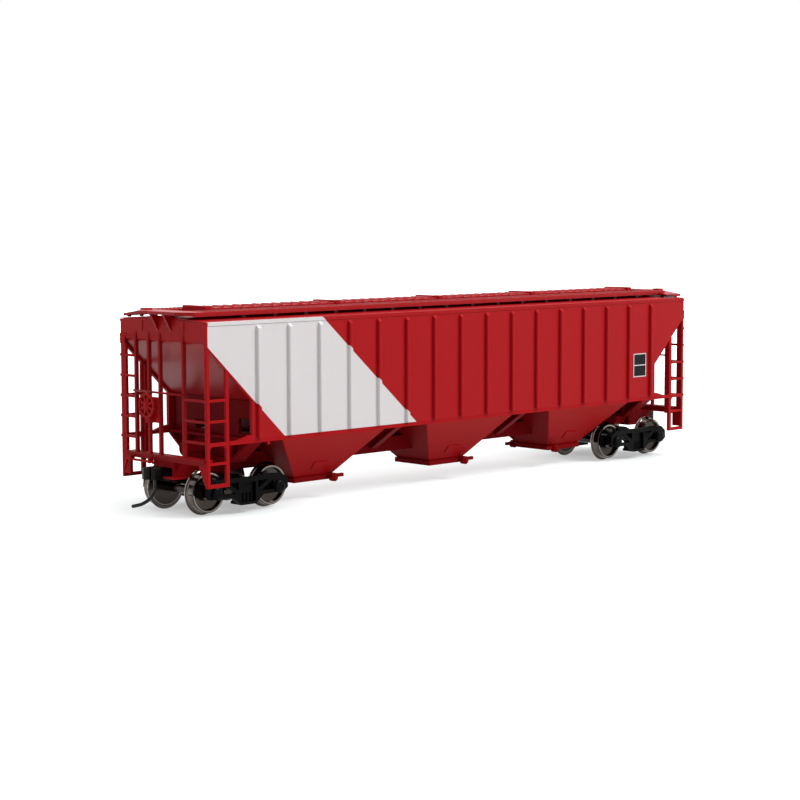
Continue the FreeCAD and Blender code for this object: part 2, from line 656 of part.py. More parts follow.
def end_rungs():
    """Rungs of the full-height end ladder and the foot of its outer stile."""
    x0 = -HALF_L
    xf = x0 - RUNG_PROUD
    y_in = POSTS[0] + POST_WIDTH / 2.0 + GLUE_GAP
    parts = []
    for i in range(LADDER_RUNGS):
        z = rung_z(i)
        x1 = x0 + 0.3 if z < PLATE_LOW - RUNG else x0
        parts.append(box(xf, x1, y_in, HALF_W + 0.1, z - RUNG / 2.0, z + RUNG / 2.0))
    z_top = rung_z(LADDER_RUNGS - 1) + RUNG / 2.0
    parts.append(box(xf, x0, HALF_W - STILE_WIDTH, HALF_W, z_top - RUNG_PITCH / 2.0, z_top))
    return parts


def corner_ladder(full):
    """Corner post with the side ladder and step, at the hand-brake end, side +Y.

    full marks the corner that carries the full-height end ladder."""
    t = CORNER_T
    x0 = -HALF_L
    xs = x0 + SIDE_LADDER
    y0 = HALF_W - t
    across = STILE_WIDTH if full else CORNER_Y
    stile = FULL_STILE if full else SIDE_STILE
    shift = 0.0 if full else RUNG_SHIFT
    low = END_SILL_TOP - END_SILL_HEIGHT
    parts = [box(x0, x0 + CORNER_X, y0, HALF_W, STEP_BOTTOM, SIDE_TOP),
             box(x0, x0 + t, HALF_W - across, HALF_W, low, SIDE_TOP),
             box(xs - stile, xs, y0, HALF_W, STEP_BOTTOM, SIDE_TOP)]
    heights = [rung_z(i + 1) + shift for i in range(SIDE_RUNGS)]
    for z in heights + [STEP_RUNG]:
        parts.append(box(x0 + 0.5, xs - 0.3, y0, HALF_W, z - RUNG / 2.0, z + RUNG / 2.0))
    parts.append(box(x0 + 0.5, xs - 0.3, y0, HALF_W, STEP_BOTTOM, STEP_BOTTOM + 0.9))
    # sill-line plate with the rounded opening under it
    plate = box(x0 + 0.5, xs - 0.3, y0, HALF_W, STEP_RUNG, SIDE_BOTTOM)
    hole = box(x0 + CORNER_X, xs - stile, y0 - 1.0, HALF_W + 1.0, STEP_RUNG + RUNG / 2.0,
               SILL_LINE)
    tops = [e for e in edges_along(hole, "y") if e.Vertexes[0].Z > SILL_LINE - 0.01]
    parts.append(plate.cut(hole.makeFillet(1.0, tops)))
    if full:
        parts.append(box(x0, x0 + t, HALF_W - FULL_FOOT, HALF_W, STEP_BOTTOM + 1.0, low))
        parts.append(box(xs - t, xs, HALF_W - FULL_STILE_DEPTH, HALF_W, low, SIDE_TOP))
        parts.extend(end_rungs())
    else:
        pts = [(HALF_W - 3.7, low), (HALF_W, low), (HALF_W, STEP_BOTTOM),
               (HALF_W - 0.7, STEP_BOTTOM)]
        parts.append(prism_yz(pts, x0, x0 + t))
    return under_slope(joined(parts))


# --------------------------------------------------------------------- roof
def roof_deck():
    """Roof sheet with the raised coaming of the long hatch."""
    g = GLUE_GAP
    low = SHEET_TOP
    a = HALF_L
    outer = prism_yz([(-HALF_W, low), (HALF_W, low), (HALF_W, SIDE_TOP),
                      (0.0, SIDE_TOP + ROOF_RISE), (-HALF_W, SIDE_TOP)], -a, a)
    plug = box(-a + SHEET + g, a - SHEET - g, -INSIDE_Y, INSIDE_Y, low - 0.8, low + 0.1)
    # room for the gable of an end plate
    gable = prism_yz([(-HALF_W - 1.0, low), (HALF_W + 1.0, low), (0.0, low + ROOF_RISE + g)],
                     -a - 1.0, -a + SHEET + g)
    ch = HATCH_HALF - HATCH_WALL - COAMING_CLEAR
    rim = box(-HATCH_END + 1.2, HATCH_END - 1.2, -ch, ch, low, HATCH_TOP - 0.75)
    mouth = box(-HATCH_END + 2.1, HATCH_END - 2.1, -ch + 0.9, ch - 0.9, low - 2.0,
                HATCH_TOP + 1.0)
    deck = joined([outer, plug, rim]).cut(mouth)
    return deck.cut(gable).cut(turned(gable))


def hatch_cover(x0, x1):
    """One length of hatch cover: skirt, flat top and rounded cross ribs."""
    g = 0.05
    a = x0 + g
    b = x1 - g
    z0 = HATCH_TOP - HATCH_SKIRT
    lid = box(a, b, -HATCH_HALF, HATCH_HALF, z0, HATCH_TOP)
    inner = box(a + HATCH_WALL if abs(x0) > HATCH_END - 0.1 else a - 1.0,
                b - HATCH_WALL if abs(x1) > HATCH_END - 0.1 else b + 1.0,
                -HATCH_HALF + HATCH_WALL, HATCH_HALF - HATCH_WALL, z0 - 1.0,
                HATCH_TOP - HATCH_WALL + 0.1)
    lid = lid.cut(inner)
    usable = (b - a) - 2.0 * BATTEN_HALF - 1.2
    n = int(usable / HATCH_RIB_PITCH) + 1
    mid = (a + b) / 2.0
    parts = [lid]
    w = HATCH_RIB_WIDTH / 2.0
    for i in range(n):
        x = mid + (i - (n - 1) / 2.0) * HATCH_RIB_PITCH
        pts = [(x - w, HATCH_TOP - 0.1), (x + w, HATCH_TOP - 0.1), (x + w * 0.55, HATCH_TOP
               + HATCH_RIB), (x - w * 0.55, HATCH_TOP + HATCH_RIB)]
        parts.append(prism_xz(pts, -HATCH_HALF + 0.35, HATCH_HALF - 0.35))
    return joined(parts)


def hatch_batten(x):
    """Raised strap over a joint of the hatch covers."""
    h = BATTEN_HALF
    y = HATCH_HALF + SEAT
    top = box(x - h, x + h, -y - 0.35, y + 0.35, HATCH_TOP, BATTEN_TOP)
    legs = [box(x - h, x + h, s * y if s > 0 else -y - 0.35, y + 0.35 if s > 0 else -y,
                HATCH_TOP - HATCH_SKIRT, HATCH_TOP + 0.1) for s in (-1, 1)]
    out = joined([top] + legs)
    tops = [e for e in edges_along(out, "y") if e.Vertexes[0].Z > BATTEN_TOP - 0.01]
    return out.makeChamfer(0.12, tops)


def hatch_latch(x, s):
    """Latch block beside the hatch skirt."""
    y0 = s * (HATCH_HALF + SEAT)
    y1 = s * (HATCH_HALF + 0.75)
    return box(x - 0.6, x + 0.6, min(y0, y1), max(y0, y1), HATCH_TOP - HATCH_SKIRT - 0.1,
               HATCH_TOP - 0.05)


def running_board():
    """Running board on side +Y: plate with side flanges and feet on the roof."""
    x0 = -HALF_L + WALK_END_DEPTH
    x1 = HALF_L
    z1 = WALK_TOP
    parts = [box(x0, x1, WALK_INNER, WALK_OUTER, z1 - WALK_PLATE, z1)]
    for y in (WALK_INNER, WALK_OUTER - 0.6):
        parts.append(box(x0, x1, y, y + 0.6, z1 - WALK_EDGE, z1))
    y_a = WALK_INNER + 0.8
    y_b = WALK_OUTER - 0.8
    w = WALK_FOOT / 2.0
    for i in range(RIB_COUNT):
        x = (i - (RIB_COUNT - 1) / 2.0) * RIB_PITCH
        foot = prism_yz([(y_a, roof_line(y_a)), (y_b, roof_line(y_b)),
                         (y_b, z1 - 0.3), (y_a, z1 - 0.3)], x - w, x + w)
        parts.append(foot)
    return joined(parts)


def gusset(y):
    """Upright triangle that holds the end platform on the end plate."""
    x_in = -HALF_L
    z1 = WALK_TOP - PLATFORM_EDGE + 0.3
    pts = [(x_in, z1), (-HALF_L - WALK_OVERHANG + 0.1, z1), (x_in, z1 - GUSSET_DEPTH)]
    return prism_xz(pts, y - GUSSET_T / 2.0, y + GUSSET_T / 2.0)


def end_platform():
    """Platform over the hand-brake end with its wing down to the ladder corner."""
    x_in = -HALF_L + WALK_END_DEPTH
    x_out = -HALF_L - WALK_OVERHANG
    z1 = WALK_TOP
    z0 = z1 - PLATFORM_EDGE
    plan = [(x_in, -WALK_OUTER), (-HALF_L, -WALK_OUTER), (x_out, -WALK_OUTER + 4.5),
            (x_out, WING_KINK - 2.0), (-HALF_L, WING_KINK), (x_in, WING_KINK)]
    plate = prism_xy(plan, z1 - WALK_PLATE, z1)
    rim_in = [(x_in - 0.6, -WALK_OUTER + 0.6), (-HALF_L + 0.3, -WALK_OUTER + 0.6),
              (x_out + 0.6, -WALK_OUTER + 4.7), (x_out + 0.6, WING_KINK - 2.2),
              (-HALF_L + 0.3, WING_KINK - 0.5), (x_in - 0.6, WING_KINK - 0.5)]
    rim = prism_xy(plan, z0, z1 - 0.1).cut(prism_xy(rim_in, z0 - 1.0, z1 - WALK_PLATE))
    x_w = -HALF_L + WING_WIDTH
    fall = [(WING_KINK - 0.6, z1 - 0.75), (WING_TIP, z1 - WING_FALL - 0.7),
            (WING_TIP, z1 - WING_FALL), (WING_KINK - 0.6, z1)]
    wing = prism_yz(fall, -HALF_L, x_w)
    pad = box(-HALF_L + 0.5, -HALF_L + 2.7, WING_KINK - 1.65, WING_KINK + 0.75, z1 - 0.3,
              z1 + WING_PAD)
    lugs = []
    for inset in WING_LUGS:
        y = WING_TIP - inset
        z = z1 - WING_FALL * (y - WING_KINK) / (WING_TIP - WING_KINK)
        lugs.append(box(-HALF_L + 0.6, -HALF_L + 1.4, y - 0.4, y + 0.4,
                        roof_line(y - 0.4) + GLUE_GAP, z - 0.3))
    parts = [plate, rim, wing, pad] + lugs + [gusset(GUSSET_1), gusset(GUSSET_2)]
    return joined(parts)


def roof_walk():
    """Both running boards and both end platforms, one moulding."""
    far = running_board()
    near = turned(far)
    platform = end_platform()
    return joined([far, near, platform, turned(platform)])


# --------------------------------------------------------------- hand brake
def brake_gearbox():
    """Gear case on its back plate across two end posts, with the chain rod."""
    x1 = -HALF_L - POST_PROUD
    x0 = x1 - BRAKE_BOX_DEPTH
    y = BRAKE_Y
    w = POST_WIDTH / 2.0
    plate = box(x1 - 0.3, x1, POSTS[2] - w, POSTS[1] + w, BRAKE_Z - 4.3, BRAKE_Z + 2.15)
    case = box(x0, x1, y - 1.4, y + 1.4, BRAKE_Z - 4.5, BRAKE_Z + 1.5)
    case = case.makeFillet(0.9, edges_along(case, "x"))
    foot = rod(V(x0 - 0.2, y - 0.1, BRAKE_Z - 3.3), V(x1, y - 0.1, BRAKE_Z - 3.3), 0.95)
    xr = x1 - 0.4
    chain = rod(V(xr, y, END_SILL_TOP), V(xr, y, BRAKE_Z - 4.0), 0.33)
    clevis = box(xr - 0.35, xr + 0.38, y - 0.45, y + 0.45, END_SILL_TOP, END_SILL_TOP + 0.9)
    return joined([case, plate, foot, chain, clevis])


def brake_wheel():
    """Hand-brake wheel: flat rounded rim, tapered spokes and hub."""
    x = -HALF_L - POST_PROUD - BRAKE_BOX_DEPTH - 0.5
    c = V(x, BRAKE_Y, BRAKE_Z)
    r1 = BRAKE_WHEEL_R
    r0 = r1 - BRAKE_RIM
    rim = revolve([(r0, -0.22), (r1 - 0.18, -0.25), (r1, -0.08), (r1, 0.08),
                   (r1 - 0.18, 0.25), (r0, 0.22)], c, "x")
    hub = revolve([(0.0, -0.5), (0.45, -0.5), (0.5, -0.3), (BRAKE_HUB_R, -0.2),
                   (BRAKE_HUB_R, 0.48), (0.0, 0.48)], c, "x")
    spoke = prism_yz([(0.5, -0.34), (r0 + 0.1, -0.24), (r0 + 0.1, 0.24), (0.5, 0.34)],
                     -0.15, 0.15)
    parts = [rim, hub]
    for i in range(BRAKE_SPOKES):
        arm = spoke.copy()
        arm.rotate(V(0, 0, 0), V(1, 0, 0), 360.0 * (i + 0.5) / BRAKE_SPOKES)
        parts.append(moved(arm, c.x, c.y, c.z))
    return joined(parts)


def air_reservoir():
    """Air tank with domed ends on two saddles against the bulkhead."""
    r = TANK_R
    y0 = -HALF_W + 2.2
    y1 = TANK_END
    x = -BULKHEAD_X - 0.8 - r
    z = SIDE_BOTTOM + 2.6
    tank = revolve([(0.0, y0), (r * 0.6, y0), (r, y0 + 0.8), (r, y1 - 0.8), (r * 0.6, y1),
                    (0.0, y1)], V(x, 0, z), "y")
    saddles = [box(x, -BULKHEAD_X - SEAT, y - 0.5, y + 0.5, z - 0.9, z + 0.9)
               for y in (y1 - 5.2, y1 - 1.1)]
    return joined([tank] + saddles)


def control_valve():
    """Brake control valve on a bracket on the bulkhead."""
    x = -BULKHEAD_X - SEAT - VALVE_HALF
    y = TANK_END + 3.2
    z = SIDE_BOTTOM + 2.9
    body = box(x - VALVE_HALF, x + VALVE_HALF, y - 1.4, y + 1.4, z - 1.7, z + 1.7)
    body = body.makeFillet(0.5, edges_along(body, "z"))
    cap_a = rod(V(x, y, z + 1.5), V(x, y, z + 2.3), 0.9)
    cap_b = rod(V(x, y, z - 1.5), V(x, y, z - 2.4), 1.0)
    pipe = rod(V(x, y, z), V(x, TANK_END + GLUE_GAP, z), 0.4)
    return joined([body, cap_a, cap_b, pipe])


def brake_cylinder():
    """Brake cylinder on a foot on the centre sill, rod towards the truck."""
    r = 1.9
    x0 = -HALF_L + 6.3
    x1 = x0 + 6.2
    z = SILL_TOP + r + 0.5
    can = rod(V(x0, 0, z), V(x1, 0, z), r)
    flange = rod(V(x1 - 0.6, 0, z), V(x1 - 0.05, 0, z), r + 0.35)
    foot = box(x0 + 0.8, x1 - 1.0, -1.4, 1.4, SILL_TOP, z - 0.9)
    push = rod(V(x1 - 0.2, 0, z), V(x1 + 2.6, 0, z), 0.4)
    return joined([can, flange, foot, push])


def steel_weight():
    """Weight plate on the ridge caps inside the body."""
    a = RIDGE_X + WEIGHT_BEYOND
    z = RIDGE_Z + CAP_THICK
    plate = box(-a, a, -WEIGHT_HALF_Y, WEIGHT_HALF_Y, z, z + WEIGHT_THICK)
    return plate.makeFillet(1.0, edges_along(plate, "z"))


def uncoupling_lever():
    """Uncoupling lever on two brackets before the end sill."""
    x = -HALF_L - 0.95
    z = END_SILL_TOP - END_SILL_HEIGHT - 0.45
    y_out = HALF_W - STILE_WIDTH - 1.3
    pts = [V(x - 0.6, y_out + 0.5, z - 3.0), V(x, y_out, z), V(x, 3.4, z),
           V(x - 1.0, 1.9, z)]
    lever = bent_rod(pts, 0.3)
    holds = [box(x - 0.4, -HALF_L, y - 0.35, y + 0.35, z - 0.4, z + 0.95)
             for y in (y_out - 1.6, 4.6)]
    return joined([lever] + holds)


# ------------------------------------------------------------------- trucks
def side_frame():
    """Roller-bearing side frame on side +Y, truck centre at x = 0."""
    a = WHEEL_BASE / 2.0
    e = FRAME_END
    top = FRAME_TOP
    outline = [(-CHEEK_HALF, PLANK_BOTTOM), (CHEEK_HALF, PLANK_BOTTOM),
               (CHEEK_HALF + 2.6, AXLE_Z - 1.55), (a - 1.5, AXLE_Z - 1.5),
               (a + 1.6, AXLE_Z - 1.5), (e, AXLE_Z - 0.4), (e - 0.2, AXLE_Z + 1.9),
               (a + 0.9, top - 0.2), (a - 2.0, top), (0.0, top - 0.25)]
    left = [(-x, z) for x, z in reversed(outline[2:-1])]
    plate = prism_xz(outline + left, FRAME_PLATE, FRAME_OUT)
    holes = []
    w0 = CHEEK_HALF + 0.8
    for s in (-1, 1):
        upper = [(s * w0, top - 1.3), (s * (a - 3.6), top - 1.3), (s * w0, AXLE_Z + 0.2)]
        lower = [(s * (a - 1.9), top - 1.5), (s * (a - 1.9), AXLE_Z - 0.6),
                 (s * (w0 + 0.9), AXLE_Z - 0.6)]
        holes.append(prism_xz(upper, FRAME_PLATE - 1.0, FRAME_OUT + 1.0))
        holes.append(prism_xz(lower, FRAME_PLATE - 1.0, FRAME_OUT + 1.0))
    window = box(-CHEEK_HALF, CHEEK_HALF, FRAME_PLATE - 1.0, FRAME_OUT + 1.0,
                 PLANK_BOTTOM + 0.7, TRUCK_BOLSTER_TOP - 1.2)
    plate = plate.cut(window)
    for h in holes:
        plate = plate.cut(h)
    # bolster end and spring plank with the coil springs between them
    end = box(-CHEEK_HALF, CHEEK_HALF, CHEEK_IN, CHEEK_OUT, TRUCK_BOLSTER_BOTTOM - 0.2,
              TRUCK_BOLSTER_TOP - 1.2)
    plank = box(-CHEEK_HALF, CHEEK_HALF, CHEEK_IN, CHEEK_OUT + 0.3, PLANK_BOTTOM,
                PLANK_BOTTOM + 0.75)
    core = box(-CHEEK_HALF + 0.25, CHEEK_HALF - 0.25, CHEEK_IN + 0.2, CHEEK_OUT - 1.0,
               PLANK_BOTTOM, TRUCK_BOLSTER_BOTTOM)
    parts = [plate, end, plank, core]
    r = CHEEK_HALF / 4.0 - 0.06
    for i in range(4):
        x = (i - 1.5) * CHEEK_HALF / 2.0
        parts.append(rod(V(x, CHEEK_OUT - r - 0.1, PLANK_BOTTOM + 0.3),
                         V(x, CHEEK_OUT - r - 0.1, TRUCK_BOLSTER_BOTTOM), r))
    for s in (-1, 1):
        parts.append(box(s * a - 1.75, s * a + 1.75, FRAME_IN, FRAME_OUT, AXLE_Z - 1.5,
                         FRAME_TOP - 1.0))
        cap = revolve([(0.0, FRAME_OUT - 0.3), (1.65, FRAME_OUT - 0.3), (1.65, FRAME_OUT + 0.45),
                       (1.15, FRAME_OUT + 0.75), (0.0, FRAME_OUT + 0.75)], V(s * a, 0, AXLE_Z),
                      "y")
        parts.append(cap)
    frame = joined(parts)
    for s in (-1, 1):
        frame = frame.cut(bearing_bore(s * a))
    return frame


def bearing_bore(x):
    """Cone-ended pocket for an axle end, on side +Y."""
    r = JOURNAL_R + BEARING_CLEAR
    tip = AXLE_HALF + BEARING_CLEAR
    y_cone = AXLE_HALF - CONE_LENGTH + BEARING_CLEAR
    return revolve([(0.0, FRAME_IN - 1.0), (r, FRAME_IN - 1.0), (r, y_cone), (0.12, tip),
                    (0.0, tip)], V(x, 0, AXLE_Z), "y")


def truck_frame():
    """Truck frame: two side frames and the bolster, one moulding."""
    one = side_frame()
    w = CHEEK_HALF - 0.2
    z0 = TRUCK_BOLSTER_BOTTOM
    z1 = TRUCK_BOLSTER_TOP
    beam = prism_yz([(-CHEEK_IN - 0.5, z0), (CHEEK_IN + 0.5, z0), (CHEEK_IN + 0.5, z1 - 1.2),
                     (CHEEK_IN - 2.5, z1), (-CHEEK_IN + 2.5, z1), (-CHEEK_IN - 0.5, z1 - 1.2)],
                    -w, w)
    bowl = rod(V(0, 0, z0), V(0, 0, z1), PAD_R)
    parts = [one, mirrored_y(one), beam, bowl]
    frame = joined(parts)
    return frame.cut(rod(V(0, 0, z0 - 1.0), V(0, 0, z1 + 1.0), KINGPIN_R + KINGPIN_CLEAR))


def wheel():
    """Wheel with flange, tapered tread and dished plate, outer face at +Y."""
    w = WHEEL_WIDTH
    profile = [(AXLE_R, 0.0), (FLANGE_R - 0.35, 0.0), (FLANGE_R, 0.35),
               (FLANGE_R - 0.3, 0.66), (TREAD_R + 0.04, FLANGE_WIDTH + 0.12),
               (TREAD_R - 0.06, w - 0.1), (TREAD_R - 0.16, w), (4.5, w), (4.3, 1.75),
               (2.2, 1.45), (2.05, w - 0.2), (AXLE_R, w - 0.2)]
    return moved(revolve(profile, V(0, 0, 0), "y"), 0.0, WHEEL_BACK)


def wheel_pair(x):
    one = wheel()
    return [moved(one, x, 0, AXLE_Z), moved(mirrored_y(one), x, 0, AXLE_Z)]


def axle(x):
    """Axle with stepped journals and pointed ends."""
    seat = WHEEL_BACK + WHEEL_WIDTH - 0.2
    y_cone = AXLE_HALF - CONE_LENGTH
    half = [(0.0, 0.0), (AXLE_R, 0.0), (AXLE_R, seat), (JOURNAL_R, seat), (JOURNAL_R, y_cone),
            (0.08, AXLE_HALF), (0.0, AXLE_HALF)]
    one = revolve(half, V(x, 0, AXLE_Z), "y")
    return joined([one, mirrored_y(one)])


# ----------------------------------------------------------------- couplers
def coupler_body():
    """Coupler at the hand-brake end: ring, shank, guard arm and jaw plates."""
    z = COUPLER_Z
    h = SHANK_HALF_H
    k = HEAD_HALF_H
    e = -HALF_L
    xp = e + PIVOT_INSET
    px = e - KNUCKLE_PIN_X
    py = KNUCKLE_PIN_Y
    ring = rod(V(xp, 0, z - h), V(xp, 0, z + h), RING_R)
    shank = box(e - HEAD_START - 0.2, xp - 0.5, -SHANK_HALF_W, SHANK_HALF_W, z - h, z + h)
    neck = prism_xy([(e - HEAD_START + 0.6, -SHANK_HALF_W), (e - HEAD_START - 0.9, -2.0),
                     (e - HEAD_START - 0.9, 0.3), (e - HEAD_START - 0.2, 1.6),
                     (e - HEAD_START + 0.6, SHANK_HALF_W)], z - k, z + k)
    guard = prism_xy([(e - HEAD_START, -1.4), (e - HEAD_START - 0.9, -2.3),
                      (e - KNUCKLE_REACH + 1.3, -2.7), (e - KNUCKLE_REACH + 0.5, -2.2),
                      (e - KNUCKLE_REACH + 1.2, -1.5), (e - KNUCKLE_REACH + 2.4, -1.1),
                      (e - HEAD_START - 1.6, -0.4), (e - HEAD_START, -0.4)], z - k, z + k)
    jaw = rod(V(px, py, z - k), V(px, py, z + k), 1.2)
    out = joined([ring, shank, neck, guard, jaw])
    room = rod(V(px, py, z - k + JAW), V(px, py, z + k - JAW), 1.3)
    sweep = prism_xy([(px, py), (px - 0.6, py - 1.4), (px - 6.0, py - 1.4), (px - 6.0, py + 4.0),
                      (px + 0.6, py + 4.0)], z - k + JAW, z + k - JAW)
    arc = rod(V(px, py, z - 5), V(px, py, z + 5), 1.32)
    reach = rod(V(px, py, z - 5), V(px, py, z + 5), 5.6)
    nose = prism_xy([(px + 0.35, py + 4.0), (px + 0.35, py + 0.2), (px - 0.2, py - 1.2),
                     (px - 3.2, py - 1.75), (px - 5.0, py - 1.75), (px - 5.0, py + 4.0)],
                    z - 3.0, z + 3.0)
    out = out.cut(room).cut(sweep.common(reach)).cut(nose.cut(arc).common(reach))
    out = out.cut(rod(V(xp, 0, z - 2), V(xp, 0, z + 2), PIVOT_R + PIVOT_CLEAR))
    return out.cut(rod(V(px, py, z - 5), V(px, py, z + 5), PIN_R + PIN_CLEAR))


def knuckle():
    """Knuckle on its pin, closed, at the hand-brake end."""
    z = COUPLER_Z
    k = HEAD_HALF_H
    e = -HALF_L
    px = e - KNUCKLE_PIN_X
    py = KNUCKLE_PIN_Y
    r = e - KNUCKLE_REACH
    plan = [(px + 0.1, py + 1.25), (r + 1.4, py + 1.45), (r + 0.3, py + 0.8), (r, py - 0.3),
            (r + 0.2, py - 1.2), (r + 0.9, py - 1.6), (r + 1.5, py - 1.2), (r + 1.6, py - 0.4),
            (px - 0.4, py - 0.75), (px + 0.1, py - 0.9)]
    nose = prism_xy(plan, z - k, z + k)
    nose = nose.cut(rod(V(px, py, z - 5), V(px, py, z + 5), 1.3))
    mid = JAW + KNUCKLE_GAP
    hub = rod(V(px, py, z - k + mid), V(px, py, z + k - mid), 1.0)
    web = prism_xy([(px, py + 0.85), (px - 2.0, py + 0.95), (px - 2.0, py - 0.45),
                    (px, py - 0.75)], z - k + mid, z + k - mid)
    out = joined([nose, hub, web])
    return out.cut(rod(V(px, py, z - 5), V(px, py, z + 5), PIN_R))


def trip_pin():
    """Curved steel pin: knuckle pin above, air-hose curve below."""
    px = -HALF_L - KNUCKLE_PIN_X
    py = KNUCKLE_PIN_Y
    top = V(px, py, COUPLER_Z + HEAD_HALF_H + 0.25)
    bend = V(px, py, 7.3)
    route = [bend, V(px - 0.45, py, 5.75), V(px - 1.5, py, 4.55), V(px - 2.8, py, 3.75),
             V(px - 4.4, py, 3.25), V(px - 7.1, py, 3.0)]
    return joined([rod(top, bend, PIN_R), curved_rod(route, PIN_R)])


# -------------------------------------------------------------------- build
def both_ends(name, shape):
    save(name + "_b", shape)
    save(name + "_a", turned(shape))


def build_body():
    save("body_shell", body_shell())
    both_ends("slope_sheet", slope_sheet())
    for i in (-1, 0, 1):
        save("hopper_bay_%d" % (i + 2), hopper_bay(i))
        save("outlet_gate_%d" % (i + 2), outlet_gate(i))
    gears = []
    for i in (-1, 0, 1):
        gears.extend(gate_gear(i))
    save("gate_gears", gears)
    save("cross_webs", [cross_web(-1), cross_web(1)])
    save("steel_weight", steel_weight())


def build_underframe():
    save("centre_sill", centre_sill())
    both_ends("draft_sill", draft_sill())
    both_ends("body_bolster", body_bolster())
    sill = side_sill()
    save("side_sills", [sill, mirrored_y(sill)])
    both_ends("coupler_lid", coupler_lid())
    screw = coupler_screw()
    save("coupler_screws", [screw, turned(screw)])
    king = kingpin_screw()
    save("kingpin_screws", [king, turned(king)])
    both_ends("uncoupling_lever", uncoupling_lever())


def build_ends():
    both_ends("end_frame", end_frame())
    full = corner_ladder(True)
    short = mirrored_y(corner_ladder(False))
    save("corner_ladder_b_far", full)
    save("corner_ladder_b_near", short)
    save("corner_ladder_a_near", turned(full))
    save("corner_ladder_a_far", turned(short))
    save("brake_gearbox", brake_gearbox())
    save("brake_wheel", brake_wheel())
    save("air_reservoir", turned(air_reservoir()))
    save("control_valve", turned(control_valve()))
    save("brake_cylinder", brake_cylinder())


def build_roof():
    save("roof_deck", roof_deck())
    joints = [-HATCH_END, -HATCH_JOINT, 0.0, HATCH_JOINT, HATCH_END]
    for i in range(4):
        save("hatch_cover_%d" % (i + 1), hatch_cover(joints[i], joints[i + 1]))
    inner = HATCH_END - BATTEN_HALF
    straps = [-inner, -HATCH_JOINT, 0.0, HATCH_JOINT, inner]
    save("hatch_battens", [hatch_batten(x) for x in straps])
    latches = []
    for i in range(4):
        mid = (joints[i] + joints[i + 1]) / 2.0
        span = (joints[i + 1] - joints[i]) / 3.0
        for x in (mid - span / 2.0 - 3.0, mid + span / 2.0 + 3.0):
            for s in (-1, 1):
                latches.append(hatch_latch(x, s))
    save("hatch_latches", latches)
    save("roof_walk", roof_walk())


def build_running_gear():
    frame = truck_frame()
    save("truck_frame_b", moved(frame, -TRUCK_X))
    save("truck_frame_a", moved(frame, TRUCK_X))
    half = WHEEL_BASE / 2.0
    places = [-TRUCK_X - half, -TRUCK_X + half, TRUCK_X - half, TRUCK_X + half]
    for i, x in enumerate(places):
        save("wheels_%d" % (i + 1), wheel_pair(x))
        save("axle_%d" % (i + 1), axle(x))
    both_ends("coupler_body", coupler_body())
    both_ends("knuckle", knuckle())
    both_ends("trip_pin", trip_pin())


def main():
    os.makedirs("parts", exist_ok=True)
    build_body()
    build_underframe()
    build_ends()
    build_roof()
    build_running_gear()


if __name__ == "__main__":
    main()
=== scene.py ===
import logging
import math
from dataclasses import dataclass, field
from enum import Enum

import bmesh
import bpy
from mathutils import Matrix, Vector


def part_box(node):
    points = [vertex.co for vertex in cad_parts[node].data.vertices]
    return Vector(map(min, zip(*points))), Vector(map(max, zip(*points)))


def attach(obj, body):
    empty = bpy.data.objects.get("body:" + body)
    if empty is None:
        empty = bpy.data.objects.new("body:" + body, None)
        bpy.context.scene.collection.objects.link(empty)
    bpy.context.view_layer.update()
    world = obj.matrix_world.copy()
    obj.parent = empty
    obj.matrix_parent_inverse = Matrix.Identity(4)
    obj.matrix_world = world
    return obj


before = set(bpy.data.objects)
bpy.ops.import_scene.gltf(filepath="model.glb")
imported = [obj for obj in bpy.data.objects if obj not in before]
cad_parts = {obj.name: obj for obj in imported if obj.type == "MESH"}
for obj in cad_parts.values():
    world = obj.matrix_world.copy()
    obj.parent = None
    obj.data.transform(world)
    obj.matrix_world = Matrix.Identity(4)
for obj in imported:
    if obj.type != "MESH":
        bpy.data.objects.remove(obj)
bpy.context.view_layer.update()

# Looks of an HO-scale three-bay covered hopper car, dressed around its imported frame.
# Metres, +Z up, +X along the car away from the hand-brake end.

MM = 0.001
RGB = tuple[float, float, float]
Settings = dict[str | int, object]
log = logging.getLogger("hopper_car")


# ------------------------------------------------------------------ shader kit
# The colour sockets of the Mix node, which has one set of sockets for each kind of data.
MIX_FACTOR, MIX_LOW, MIX_HIGH, MIX_RESULT = 0, 6, 7, 2
# Octaves of noise.
SMOOTH, ROUGH = 2.0, 3.0


